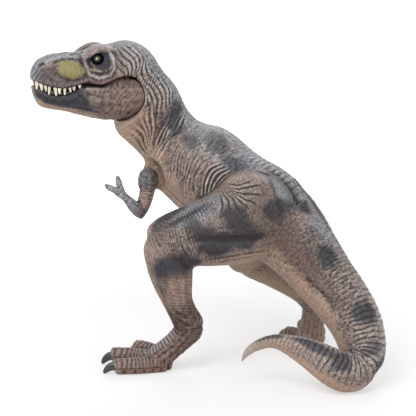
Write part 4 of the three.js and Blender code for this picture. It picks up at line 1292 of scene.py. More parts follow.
class Nodes:
    """Adds nodes to a tree. An input is a value or the socket that feeds it."""

    def __init__(self, tree):
        self.tree = tree

    def feed(self, node, inputs):
        """Sets or links some inputs of a node."""
        for key, value in inputs.items():
            if isinstance(value, bpy.types.NodeSocket):
                self.tree.links.new(value, node.inputs[key])
            else:
                node.inputs[key].default_value = value

    def add(self, kind, inputs=(), **settings):
        """The outputs of a new node."""
        node = self.tree.nodes.new(kind)
        for key, value in settings.items():
            setattr(node, key, value)
        self.feed(node, dict(inputs))
        return node.outputs

    def math(self, operation, *values, clamp=False):
        inputs = enumerate(values)
        return self.add("ShaderNodeMath", inputs, operation=operation, use_clamp=clamp)[0]

    def vector(self, operation, *values):
        return self.add("ShaderNodeVectorMath", enumerate(values), operation=operation)[0]

    def combine(self, **parts):
        return self.add("ShaderNodeCombineXYZ", parts)[0]

    def remap(self, value, start, end, low=0.0, high=1.0, kind="LINEAR"):
        span = {"From Min": start, "From Max": end, "To Min": low, "To Max": high}
        return self.add("ShaderNodeMapRange", {"Value": value} | span, interpolation_type=kind)[0]

    def mix(self, share, first, second):
        return self.add("ShaderNodeMix", {0: share, 2: first, 3: second})[0]

    def blend(self, share, first, second):
        """Two colours mixed."""
        return self.add("ShaderNodeMix", {0: share, 6: first, 7: second}, data_type="RGBA")[2]

    def noise(self, place, scale, detail, roughness=0.5):
        inputs = {"Vector": place, "Scale": scale, "Detail": detail, "Roughness": roughness}
        return self.add("ShaderNodeTexNoise", inputs)["Fac"]

    def bump(self, height, strength, distance):
        inputs = {"Height": height, "Strength": strength, "Distance": distance}
        return self.add("ShaderNodeBump", inputs)["Normal"]

    def place(self):
        return self.add("ShaderNodeTexCoord")["Object"]

    def attribute(self, name, output="Fac"):
        return self.add("ShaderNodeAttribute", attribute_name=name)[output]

    def seen(self):
        """1 for the rays that a picture is seen by, straight, mirrored or through glass."""
        path = self.add("ShaderNodeLightPath")
        straight = self.math("MAXIMUM", path["Is Camera Ray"], path["Is Glossy Ray"])
        return self.math("MAXIMUM", straight, path["Is Transmission Ray"])


def node_group(name, inputs, outputs, kind="ShaderNodeTree"):
    """A node group with named sockets: its nodes so far, what comes in and its output node."""
    group = bpy.data.node_groups.new(name, kind)
    for label, (socket, default) in inputs.items():
        made = group.interface.new_socket(
            label, in_out="INPUT", socket_type="NodeSocket" + socket
        )
        if default is not None:
            made.default_value = default
    for label, socket in outputs.items():
        group.interface.new_socket(label, in_out="OUTPUT", socket_type="NodeSocket" + socket)
    start = group.nodes.new("NodeGroupInput")
    return Nodes(group), start.outputs, group.nodes.new("NodeGroupOutput")


def scale_grain_group():
    """Pebbly scales with painted shade in their dark borders, in rows that follow the flow of the
    limb.
    """
    nodes, start, end = node_group(
        "Scale Grain",
        {"Flow": ("Vector", None), "Scale Size": ("Float", 1.0), "Row Length": ("Float", 1.9)},
        {"Height": "Float", "Crevice Shade": "Float", "Tone": "Float"},
    )
    inverse = nodes.math("DIVIDE", 1.0, start["Scale Size"])
    across = nodes.math("DIVIDE", inverse, start["Row Length"])
    stretch = nodes.combine(X=inverse, Y=across, Z=inverse)
    place = nodes.vector("MULTIPLY", start["Flow"], stretch)
    grid = {"Vector": place, "Scale": 1.0, "Randomness": 0.85}
    edge = nodes.add("ShaderNodeTexVoronoi", grid, feature="DISTANCE_TO_EDGE")["Distance"]
    cell = nodes.add("ShaderNodeTexVoronoi", grid, feature="F1")["Color"]
    dome = nodes.remap(edge, 0.0, 0.3, kind="SMOOTHSTEP")
    # Painted shade: the borders between the scales are darkened.
    crevice_shade = nodes.remap(edge, 0.0, 0.2, 1.0, 0.0)
    tone = nodes.add("ShaderNodeSeparateColor", {"Color": cell})[0]
    threads = nodes.vector("MULTIPLY", place, (1.45, 0.75, 1.45))
    hatch = nodes.remap(nodes.noise(threads, 1.0, 2.0, 0.55), 0.38, 0.62, kind="SMOOTHSTEP")
    lines = nodes.math("SUBTRACT", 1.0, hatch)
    made = {
        "Height": nodes.mix(0.55, dome, hatch),
        "Crevice Shade": nodes.mix(0.5, crevice_shade, lines),
        "Tone": nodes.mix(0.65, tone, hatch),
    }
    nodes.feed(end, made)
    return nodes.tree


def brushed_paint_group():
    """One paint over another, its edge broken up as a small brush leaves it."""
    nodes, start, end = node_group(
        "Brushed Paint",
        {
            "Under": ("Color", None),
            "Paint": ("Color", None),
            "Cover": ("Float", 0.0),
            "Breakup": ("Float", 0.5),
            "Raggedness": ("Float", 0.5),
        },
        {"Color": "Color"},
    )
    centred = nodes.math("SUBTRACT", start["Breakup"], 0.5)
    shift = nodes.math("MULTIPLY", centred, start["Raggedness"])
    # The breakup works where there is some paint, and leaves bare skin bare.
    share = nodes.remap(start["Cover"], 0.0, 0.3)
    cover = nodes.math("MULTIPLY_ADD", shift, share, start["Cover"], clamp=True)
    nodes.feed(end, {"Color": nodes.blend(cover, start["Under"], start["Paint"])})
    return nodes.tree


def new_material(name, roughness, **sockets):
    """A material with its Principled shader, which carries what is the same all over."""
    material = bpy.data.materials.new(name)
    material.use_nodes = True
    shader = material.node_tree.nodes["Principled BSDF"]
    shader.inputs["Roughness"].default_value = roughness
    for key, value in sockets.items():
        shader.inputs[key.replace("_", " ")].default_value = value
    return material, Nodes(material.node_tree), shader


# How ragged the brush leaves each paint's edge, from the first coat to the last
BRUSHED = {
    "tan": 0.9,
    "blue": 0.9,
    "slate": 0.9,
    "ruddy": 0.7,
    "olive": 0.25,
    "maroon": 0.3,
    "black": 0.2,
}


def painted_skin(settings):
    """Brown vinyl under layers of brushed paint, a dark wash with painted shade in the creases and
    a pale dry brush with painted highlights.
    """
    made = bpy.data.materials.get("painted_skin")
    if made:
        return made
    material, nodes, shader = new_material("painted_skin", 0.5, Specular_IOR_Level=0.35)
    size = {"Flow": nodes.attribute("flow", "Vector"), "Scale Size": settings.scale_size / MM}
    grain = nodes.add("ShaderNodeGroup", size, node_tree=scale_grain_group())
    paint_group = brushed_paint_group()

    def brushed(under, paint, cover, breakup, raggedness):
        sockets = {
            "Under": under,
            "Paint": rgba(getattr(settings, paint)),
            "Cover": cover,
            "Breakup": breakup,
            "Raggedness": raggedness,
        }
        return nodes.add("ShaderNodeGroup", sockets, node_tree=paint_group)["Color"]

    breakup = nodes.noise(nodes.place(), 330.0, 5.0, 0.7)
    speckle = nodes.mix(0.6, breakup, grain["Tone"])
    broken = nodes.mix(0.35, breakup, grain["Tone"])
    colour = nodes.blend(speckle, rgba(settings.brown), rgba(settings.brown_light))
    for paint, raggedness in BRUSHED.items():
        colour = brushed(colour, paint, nodes.attribute(paint), broken, raggedness)
    # The wash and painted shade lie in the creases and between the scales.
    strength = nodes.remap(nodes.attribute("calm"), 0.0, 1.0, 0.72, 0.22)
    between = (grain["Crevice Shade"], strength, nodes.attribute("wash_and_shade"))
    wash_and_shade_cover = nodes.math("MULTIPLY_ADD", *between, clamp=True)
    colour = brushed(colour, "wash_and_shade", wash_and_shade_cover, breakup, 0.3)
    # The dry brush and painted highlights catch the scales that stand proud.
    standing = nodes.remap(grain["Height"], 0.0, 1.0, 0.3, 1.05)
    dry_brush_and_highlight_cover = nodes.math("MULTIPLY", standing, nodes.attribute("dry_brush_and_highlight"), clamp=True)
    finish = {
        "Base Color": brushed(colour, "dry_brush_and_highlight", dry_brush_and_highlight_cover, breakup, 0.6),
        "Roughness": nodes.remap(breakup, 0.3, 0.7, 0.42, 0.6),
        "Normal": nodes.bump(grain["Height"], 0.5, 0.00025),
    }
    nodes.feed(shader, finish)
    return material


def stained_plastic(name, colour, stain, *, roughness, coat, scale, bump_depth):
    """Glossy moulded plastic that darkens unevenly, as a wash leaves it."""
    material, nodes, shader = new_material(name, roughness, Coat_Weight=coat)
    cloudy = nodes.noise(nodes.place(), scale, 5.0, 0.6)
    share = nodes.remap(cloudy, 0.35, 0.7)
    mixed = nodes.blend(share, rgba(colour), rgba(stain))
    nodes.feed(shader, {"Base Color": mixed, "Normal": nodes.bump(cloudy, 0.3, bump_depth)})
    return material


# Teeth and claws, which are curved horns set on points by Geometry Nodes

UPPER_TEETH = (  # forward, left, up and length in mm
    (39.1, 4.1, 8.6, 4.3),
    (37.4, 5.3, 8, 4.3),
    (35.5, 6, 7.3, 4),
    (33.4, 6.7, 6.6, 4.9),
    (31, 7.1, 6.1, 5),
    (28.7, 7.4, 5.6, 3.6),
    (26.1, 7.7, 5.5, 4),
    (23.8, 7.9, 5.9, 3.2),
    (21.5, 8.1, 6.4, 2.8),
    (19.1, 8.5, 7.2, 2.6),
)
LOWER_TEETH = (
    (36.5, 4.1, 2, 1.5),
    (34.4, 4.7, 0.6, 1.6),
    (32.3, 5, 0, 1.6),
    (29.7, 5.5, -0.5, 1.6),
    (27.2, 5.9, -0.5, 1.6),
    (24.6, 6.3, -0.2, 1.5),
    (22.1, 6.9, 0.2, 1.4),
)
UPPER_GUM = (  # forward, left and up in mm
    ((17, 8.9, 7.8), (20.4, 8.3, 6.7), (24.6, 7.8, 5.8), (29.3, 7.3, 5.7))
    + ((33.6, 6.6, 6.6), (37, 5.5, 7.8), (39.3, 3.9, 8.7))
)
LOWER_GUM = (
    ((17, 8.6, 3.8), (20.4, 7.6, 1.6), (24.6, 6.5, 0.1), (29.3, 5.8, -0.3))
    + ((33.6, 5, 0.6), (37, 4, 2.6), (39.3, 2.6, 4.1))
)
GUM_RADIUS = 1.45
GUM_SIDES = 8


def gum_filler(gum):
    """Adds a bar that fills the groove of a row of teeth, given one side of its line."""

    def add(whole):
        line = [HeadFrame.place(*place) for place in gum]
        line += [HeadFrame.place(forward, -left, up) for forward, left, up in reversed(gum)]
        line = np.array(line)
        ahead = np.gradient(line, axis=0)
        ahead /= np.linalg.norm(ahead, axis=1)[:, None]
        side = np.cross(ahead, (0, 0, 1))
        side /= np.linalg.norm(side, axis=1)[:, None]
        rise = np.cross(side, ahead)
        turns = np.linspace(0, 2 * math.pi, GUM_SIDES, endpoint=False)
        rings = []
        for middle, across, up in zip(line, side, rise):
            around = [math.cos(t) * across + math.sin(t) * up for t in turns]
            rings.append([whole.verts.new((middle + GUM_RADIUS * way) * MM) for way in around])
        for near, far in zip(rings, rings[1:]):
            for k in range(GUM_SIDES):
                after = (k + 1) % GUM_SIDES
                whole.faces.new((near[k], near[after], far[after], far[k]))
        whole.faces.new(reversed(rings[0]))
        whole.faces.new(rings[-1])

    return add


def horn_tree():
    """Curved tapering horns on points that carry a turn and a size."""
    nodes, start, end = node_group(
        "Horns On Points",
        {
            "Points": ("Geometry", None),
            "Horn Length": ("Float", 0.004),
            "Root Radius": ("Float", 0.001),
            "Bow": ("Float", 0.15),
            "Hook": ("Float", 0.1),
            "Flatness": ("Float", 0.8),
            "Taper": ("Float", 0.7),
            "Material": ("Material", None),
        },
        {"Geometry": "Geometry"},
        "GeometryNodeTree",
    )
    length = start["Horn Length"]
    bowed, hooked = (nodes.math("MULTIPLY", length, start[name]) for name in ("Bow", "Hook"))
    middle = nodes.combine(X=bowed, Z=nodes.math("MULTIPLY", length, 0.5))
    curve = {"Start": (0, 0, 0), "Middle": middle, "End": nodes.combine(X=hooked, Z=length)}
    line = nodes.add("GeometryNodeCurveQuadraticBezier", {"Resolution": 10} | curve)[0]
    along = nodes.add("GeometryNodeSplineParameter")["Factor"]
    left_over = nodes.math("MULTIPLY_ADD", along, -0.98, 1.0)
    taper = nodes.math("POWER", left_over, start["Taper"])
    radius = nodes.math("MULTIPLY", start["Root Radius"], taper)
    ring = nodes.add("GeometryNodeCurvePrimitiveCircle", {"Resolution": 14, "Radius": 1.0})[0]
    swept = {"Curve": line, "Profile Curve": ring, "Scale": radius, "Fill Caps": True}
    skin = nodes.add("GeometryNodeCurveToMesh", swept)[0]
    narrow = nodes.combine(X=1.0, Y=start["Flatness"], Z=1.0)
    flat = nodes.add("GeometryNodeTransform", {"Geometry": skin, "Scale": narrow})[0]
    turn, size = (
        nodes.add("GeometryNodeInputNamedAttribute", {"Name": name}, data_type="FLOAT_VECTOR")[0]
        for name in ("turn", "size")
    )
    placing = {
        "Points": start["Points"],
        "Instance": flat,
        "Rotation": nodes.add("FunctionNodeEulerToRotation", {0: turn})[0],
        "Scale": size,
    }
    placed = nodes.add("GeometryNodeInstanceOnPoints", placing)[0]
    real = nodes.add("GeometryNodeRealizeInstances", {"Geometry": placed})[0]
    smooth = nodes.add("GeometryNodeSetShadeSmooth", {"Geometry": real})[0]
    painted = {"Geometry": smooth, "Material": start["Material"]}
    nodes.feed(end, {"Geometry": nodes.add("GeometryNodeSetMaterial", painted)[0]})
    return nodes.tree


def horns(name, horn_places, sizes, material):
    """One plain mesh of horns, each by its root, the ways it points and bows, and its size."""
    mesh = bpy.data.meshes.new(name + "_places")
    mesh.from_pydata([tuple(root * MM) for root, *_ in horn_places], [], [])
    turns, scales = [], []
    for _, ahead, bow, size in horn_places:
        ahead, bow = Vector(ahead).normalized(), Vector(bow)
        bow = (bow - bow.dot(ahead) * ahead).normalized()
        basis = Matrix((bow, ahead.cross(bow), ahead)).transposed()
        turns.extend(basis.to_euler())
        scales.extend(size)
    for label, values in (("turn", turns), ("size", scales)):
        layer = mesh.attributes.new(label, "FLOAT_VECTOR", "POINT")
        layer.data.foreach_set("vector", values)
    points = bpy.data.objects.new(name + "_places", mesh)
    bpy.context.collection.objects.link(points)
    modifier = points.modifiers.new("horns", "NODES")
    modifier.node_group = bpy.data.node_groups.get("Horns On Points") or horn_tree()
    sockets = {
        item.name: item.identifier
        for item in modifier.node_group.interface.items_tree
        if item.item_type == "SOCKET" and item.in_out == "INPUT"
    }
    for label, value in (sizes | {"Material": material}).items():
        modifier[sockets[label]] = value
    made = applied(points)
    made.name = name
    weld = bmesh.new()
    weld.from_mesh(made)
    bmesh.ops.remove_doubles(weld, verts=weld.verts, dist=WELD)
    bmesh.ops.recalc_face_normals(weld, faces=weld.faces)
    low, high = cad_box
    for vertex in weld.verts:
        vertex.co = Vector(np.clip(vertex.co, low, high))
    weld.to_mesh(made)
    weld.free()
    return made


TOOTH_SUNK = 0.4  # how much of a tooth lies in the gum, in mm
TOOTH_LENGTH = 4  # of the plain horn that each tooth is scaled from, in mm


def tooth_places(rows, downwards):
    """Both sides of a row of teeth, each leaning a little outwards and curved back."""
    places = []
    for number, (forward, left, up, length) in enumerate(rows):
        width = 0.9 + 0.12 * math.sin(number * 1.7)
        size = (width, width, (length + TOOTH_SUNK) / TOOTH_LENGTH)
        for hand in (1, -1):
            sway = 0.12 * math.sin(number * 2.4 + hand)
            root = HeadFrame.place(forward, hand * left, up - TOOTH_SUNK * downwards)
            way = HeadFrame.forward * (0.1 + sway) + HeadFrame.left * hand * 0.1
            places.append((root, way + np.array([0, 0, downwards]), -HeadFrame.forward, size))
    return places


def claw_place(end, way, further):
    """A claw that points on along a digit, so many mm further than its end."""
    way = way / np.linalg.norm(way)
    return np.array(end) + MIDDLE + further * way, way, (0, 0, 1), (1, 1, 1)


# Settings


def size_property(label, description, millimetres, low, high):
    span = {"default": millimetres * MM, "min": low * MM, "max": high * MM}
    kind = {"subtype": "DISTANCE", "unit": "LENGTH"}
    return FloatProperty(name=label, description=description, **span, **kind)


def amount_property(label, description, default, high, **kind):
    text = {"name": label, "description": description}
    return FloatProperty(**text, default=default, min=0, max=high, **kind)


def colour_property(label, description, *colour):
    text = {"name": label, "description": description}
    return FloatVectorProperty(**text, default=srgb(*colour), min=0, max=1, subtype="COLOR")


class SkinSettings(bpy.types.PropertyGroup):
    """Fineness, relief and paints of the vinyl skin."""

    voxel: size_property("Fineness", "Distance between the points of the skin", 0.5, 0.3, 2)
    scale_size: size_property("Scale size", "Width of a scale in the fine grain", 1.05, 0.3, 5)
    depth: amount_property("Relief", "Depth of folds and scutes", 1.0, 2, subtype="FACTOR")
    brown: colour_property("Vinyl", "Colour of the bare vinyl", 104, 84, 76)
    brown_light: colour_property("Vinyl, pale", "Paler clouds in the vinyl", 164, 143, 131)
    tan: colour_property("Belly", "Throat, belly and underside of the tail", 176, 147, 127)
    blue: colour_property("Back", "Blue-grey of the back and the head", 142, 150, 161)
    slate: colour_property("Slate", "Dark patches and bands", 13, 25, 43)
    ruddy: colour_property("Feet", "Reddish brown of the feet", 112, 80, 68)
    olive: colour_property("Olive", "Patch on the muzzle", 146, 138, 80)
    maroon: colour_property("Lip line", "Dark red inside the lips", 104, 34, 52)
    black: colour_property("Sockets", "Eye sockets and gullet", 22, 30, 42)
    # The wash colour is also the painted shade in the creases, and the dry brush colour the painted
    # highlights on the ridges.
    wash_and_shade: colour_property("Wash", "Dark wash in the creases", 34, 24, 23)
    dry_brush_and_highlight: colour_property("Dry brush", "Pale paint on the ridges", 196, 188, 182)


class MouthSettings(bpy.types.PropertyGroup):
    """Teeth and tongue."""

    tooth_radius: size_property("Tooth radius", "Half width of a tooth at its root", 1.1, 0.2, 3)
    enamel: colour_property("Enamel", "Colour of the teeth", 243, 239, 220)
    enamel_root: colour_property("Tooth roots", "Stain on the teeth", 196, 182, 146)
    tongue: colour_property("Tongue", "Wet dark red of the tongue", 62, 26, 30)
    tongue_deep: colour_property("Tongue, deep", "Darker clouds on the tongue", 40, 20, 24)


class ClawSettings(bpy.types.PropertyGroup):
    """Claws of the feet and hands."""

    length: size_property("Claw length", "Length of a toe's claw", 7.5, 2, 20)
    radius: size_property("Claw radius", "Half height of a toe's claw at its root", 2.6, 0.5, 6)
    horn: colour_property("Claws", "Dark horn of the claws", 20, 25, 32)
    horn_worn: colour_property("Claws, worn", "Paler worn horn", 52, 61, 70)
    nail: colour_property("Fingernails", "Pale claws of the fingers", 126, 130, 138)


class EyeSettings(bpy.types.PropertyGroup):
    """Eyes."""

    radius: size_property("Eye radius", "Radius of the eyeball", 1.9, 0.5, 5)
    iris: colour_property("Iris", "Colour of the iris", 198, 178, 36)
    ball: colour_property("Eyeball", "Colour round the iris", 46, 54, 68)


class StudioSettings(bpy.types.PropertyGroup):
    """Floor, lamps and surround light."""

    floor: colour_property("Floor", "Colour of the floor", 236, 236, 236)
    key_power: amount_property("Key lamp", "Power of the main lamp", 11.0, 200, unit="POWER")
    fill_power: amount_property(
        "Fill lamp", "Power of the front lamp and the rear one", 5.5, 200, unit="POWER"
    )
    surround: amount_property(
        "Surround", "Light that comes from all round", 0.55, 4, subtype="FACTOR"
    )


class ToySettings(bpy.types.PropertyGroup):
    """All the toy's settings."""

    skin: PointerProperty(type=SkinSettings, name="Skin", description="Skin settings")
    mouth: PointerProperty(type=MouthSettings, name="Mouth", description="Mouth settings")
    claws: PointerProperty(type=ClawSettings, name="Claws", description="Claw settings")
    eyes: PointerProperty(type=EyeSettings, name="Eyes", description="Eye settings")
    studio: PointerProperty(type=StudioSettings, name="Studio", description="Studio settings")


# Operators


def skin_object(shell, quads, node, body, settings):
    """Makes the painted skin of a node from the largest part of the given faces."""
    mesh = skin_mesh(node + "_skin", shell, largest(quads))
    new_object(node + "_skin", mesh, body, [node], painted_skin(settings))


class TOYDINO_OT_body_skin(bpy.types.Operator):
    """Sculpt and paint the skin of the head, trunk, legs and tail"""

    bl_idname = "toydino.body_skin"
    bl_label = "Body Skin"

    def execute(self, context):
        settings = context.scene.toy_dinosaur.skin
        shell = remeshed(FIXED_NODES, settings.voxel, 0.2 * MM, gum_filler(UPPER_GUM))
        used, shell.quads = compact(largest(shell.quads))
        shell.points = shell.points[used]
        body = Body(shell)
        body.smooth()
        high = body.relief(settings.depth)
        shell.push(high)
        body.paint(high)
        shell.flow = body.flow()
        owner = face_owners(shell, body.owner())
        clamp(shell)
        for number, name in enumerate(FIXED_NODES):
            skin_object(shell, shell.quads[owner == number], name, "figure", settings)
        return {"FINISHED"}


class TOYDINO_OT_jaw_skin(bpy.types.Operator):
    """Sculpt and paint the lower jaw"""

    bl_idname = "toydino.jaw_skin"
    bl_label = "Jaw Skin"

    def execute(self, context):
        settings = context.scene.toy_dinosaur.skin
        shell = remeshed(("lower_jaw",), 0.8 * settings.voxel, 0, gum_filler(LOWER_GUM))
        fixed = node_tree("head", "torso")
        room = gaps(swung(shell.points, JAW_OPENS), fixed, 3)
        free = np.minimum(ramp(gaps(shell.points, fixed, 3), 0.7, 2), ramp(room, 0.4, 1.5))
        shell.relax(4, free)
        place = HeadFrame.locate(shell.points)
        shell.points[:, 2] += lip_rise(*place, room)
        high = jaw_relief(*place, shell.points) * free * settings.depth
        shell.push(high)
        found = jaw_paint(*place, shell.normals()[:, 2], shell.points)
        finish_paint(shell, found, high, free)
        forward, left, up = place
        shell.flow = HEAD_GRAIN * np.stack([forward, up, left], 1)
        clamp(shell)
        skin_object(shell, shell.quads, "lower_jaw", "jaw", settings)
        return {"FINISHED"}


class TOYDINO_OT_arm_skins(bpy.types.Operator):
    """Sculpt and paint both arms"""

    bl_idname = "toydino.arm_skins"
    bl_label = "Arm Skins"

    def execute(self, context):
        settings = context.scene.toy_dinosaur.skin
        fixed = node_tree("torso")
        for name in ARMS:
            shell = remeshed((name,), 0.7 * settings.voxel, 0)
            free = ramp(gaps(shell.points, fixed, 4), 0.9, 2.5)
            shell.relax(6, 0.9 * free)
            high, along, around = arm_relief(name, shell.points)
            high = high * free * settings.depth
            shell.push(high)
            finish_paint(shell, arm_paint(along, shell.points), high, free)
            shell.flow = np.stack([along, np.radians(around) * 4, np.zeros(len(along))], 1)
            clamp(shell)
            skin_object(shell, shell.quads, name, name, settings)
        return {"FINISHED"}


class TOYDINO_OT_teeth(bpy.types.Operator):
    """Set both rows of teeth"""

    bl_idname = "toydino.teeth"
    bl_label = "Teeth"

    def execute(self, context):
        settings = context.scene.toy_dinosaur.mouth
        look = {"roughness": 0.3, "coat": 0.3, "scale": 700.0, "bump_depth": 0.0001}
        material = stained_plastic("ivory_teeth", settings.enamel, settings.enamel_root, **look)
        sizes = {"Horn Length": TOOTH_LENGTH * MM, "Root Radius": settings.tooth_radius}
        sizes |= {"Bow": 0.02, "Hook": 0.12, "Flatness": 0.9, "Taper": 0.36}
        for name, rows, way, body in (
            ("upper_teeth", UPPER_TEETH, -1, "figure"),
            ("lower_teeth", LOWER_TEETH, 1, "jaw"),
        ):
            mesh = horns(name + "_row", tooth_places(rows, way), sizes, material)
            new_object(name + "_row", mesh, body, [name])
        return {"FINISHED"}


class TOYDINO_OT_claws(bpy.types.Operator):
    """Fit the claws of the feet and hands"""

    bl_idname = "toydino.claws"
    bl_label = "Claws"

    def execute(self, context):
        settings = context.scene.toy_dinosaur.claws
        worn = settings.horn_worn
        look = {"roughness": 0.28, "coat": 0.4, "scale": 350.0, "bump_depth": 0.0002}
        dark = stained_plastic("dark_claws", settings.horn, worn, **look)
        sizes = {"Horn Length": settings.length, "Root Radius": settings.radius}
        sizes |= {"Bow": 0.27, "Hook": -0.2, "Flatness": 0.75, "Taper": 0.4}
        for name, leg in LEGS.items():
            places = [
                claw_place(end, np.subtract(aim, end), grown - 1.1)
                for (*_, end, aim), grown in zip(leg["toes"], TOE_GROWTH)
            ]
            mesh = horns(name + "_claws", places, sizes, dark)
            new_object(name + "_claws", mesh, "figure", [name])
        look |= {"roughness": 0.3, "coat": 0.3, "bump_depth": 0.0001}
        pale = stained_plastic("pale_claws", settings.nail, worn, **look)
        sizes = {"Horn Length": 1.9 * MM, "Root Radius": 1.35 * MM}
        sizes |= {"Bow": 0.1, "Hook": 0.0, "Flatness": 1.0, "Taper": 0.4}
        for name, arm in ARMS.items():
            places = [
                claw_place(tip, np.subtract(tip, before), 0.3) for before, tip in arm["fingers"]
            ]
            mesh = horns(name + "_claws", places, sizes, pale)
            new_object(name + "_claws", mesh, name, [name])
        return {"FINISHED"}


EYE = (10.2, 10.5, 19.3)  # forward, left and up in mm from the jaw pin
IRIS_DOME = math.radians(34)
IRIS_RISE = 0.05
PUPIL = (0.004, 0.004, 0.004)
IRIS_RIM = (0.012, 0.01, 0.008)


class TOYDINO_OT_eyes(bpy.types.Operator):
    """Set both eyes in their sockets"""

    bl_idname = "toydino.eyes"
    bl_label = "Eyes"

    def execute(self, context):
        settings = context.scene.toy_dinosaur.eyes
        material, nodes, shader = new_material("glossy_eye", 0.2, Coat_Weight=0.3)
        bands = nodes.add("ShaderNodeValToRGB", {"Fac": nodes.attribute("off_axis")})
        nodes.feed(shader, {"Base Color": bands["Color"]})
        stops = bands["Color"].node.color_ramp.elements
        stops[0].color, stops[1].color = rgba(PUPIL), rgba(settings.ball)
        for position, colour in (
            (0.01, settings.iris),
            (0.16, settings.iris),
            (0.2, IRIS_RIM),
            (0.3, settings.ball),
        ):
            stops.new(position).color = rgba(colour)
        for name, hand in (("left_eye", 1), ("right_eye", -1)):
            centre = Vector(HeadFrame.place(EYE[0], hand * EYE[1], EYE[2]) * MM)
            outwards = HeadFrame.left * hand * 0.93 + HeadFrame.forward * 0.3
            gaze = Vector(outwards + np.array([0, 0, 0.06])).normalized()
            turn = Vector((0, 0, 1)).rotation_difference(gaze).to_matrix()
            ball = bmesh.new()
            bmesh.ops.create_uvsphere(ball, u_segments=40, v_segments=28, radius=1)
            angles = []
            for vertex in ball.verts:
                angle = math.acos(max(-1, min(1, vertex.co.z)))
                angles.append(math.degrees(angle) / 90)
                bulge = 1 + IRIS_RISE * max(0, 1 - angle / IRIS_DOME)
                vertex.co = turn @ (vertex.co * settings.radius * bulge) + centre
            mesh = bpy.data.meshes.new(name + "_ball")
            ball.to_mesh(mesh)
            ball.free()
            layer = mesh.attributes.new("off_axis", "FLOAT", "POINT")
            layer.data.foreach_set("value", angles)
            mesh.shade_smooth()
            new_object(name + "_ball", mesh, "figure", [name], material)
        return {"FINISHED"}


class TOYDINO_OT_tongue(bpy.types.Operator):
    """Shape the tongue in the lower jaw"""

    bl_idname = "toydino.tongue"
    bl_label = "Tongue"

    def execute(self, context):
        settings = context.scene.toy_dinosaur.mouth
        look = {"roughness": 0.3, "coat": 0.3, "scale": 260.0, "bump_depth": 0.0003}
        material = stained_plastic("wet_tongue", settings.tongue, settings.tongue_deep, **look)
        shell = remeshed(("tongue",), 0.4 * MM, 0)
        shell.relax(5, 1.0)
        forward, left, up = HeadFrame.locate(shell.points)
        above = ramp(shell.normals()[:, 2], 0.2, 0.8)
        shell.push(-0.45 * above * hump(left, 0, 1.1))
        shell.points += (2.8 * ramp(forward, 28, 37))[:, None] * HeadFrame.forward
        rise = 1.0 + 1.7 * ramp(forward, 24, 32) + 0.7 * ramp(forward, 32, 36)
        shell.points[:, 2] += above * rise
        shell.flow = np.stack([forward, left, up], 1)
        mesh = skin_mesh("tongue_flesh", shell, shell.quads)
        new_object("tongue_flesh", mesh, "jaw", ["tongue"], material)
        return {"FINISHED"}


class TOYDINO_OT_jaw_pin(bpy.types.Operator):
    """Give the jaw's pin its brushed steel"""

    bl_idname = "toydino.jaw_pin"
    bl_label = "Jaw Pin"

    def execute(self, context):
        material, nodes, shader = new_material("brushed_steel", 0.32, Metallic=1.0)
        stretch = {"Vector": nodes.place(), "Scale": (400.0, 400.0, 6000.0)}
        lines = nodes.noise(nodes.add("ShaderNodeMapping", stretch)[0], 5.0, 3.0)
        tone = nodes.blend(lines, (0.42, 0.43, 0.45, 1), (0.62, 0.63, 0.65, 1))
        nodes.feed(shader, {"Base Color": tone})
        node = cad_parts["jaw_pin"]
        node.data.materials.clear()
        node.data.materials.append(material)
        return {"FINISHED"}


FLOOR_HALF = 4.0
CAMERA_LENS = 121.15
CAMERA_PLACE = (0.00168, -0.6855, 0.2196)
CAMERA_TILT = math.radians(-11.671)
LAMPS_AIM = Vector((0, 0, 0.08))
FLOOR_GREY = (0.5, 0.5, 0.5, 1)  # what the camera sees of the floor before its own glow is added


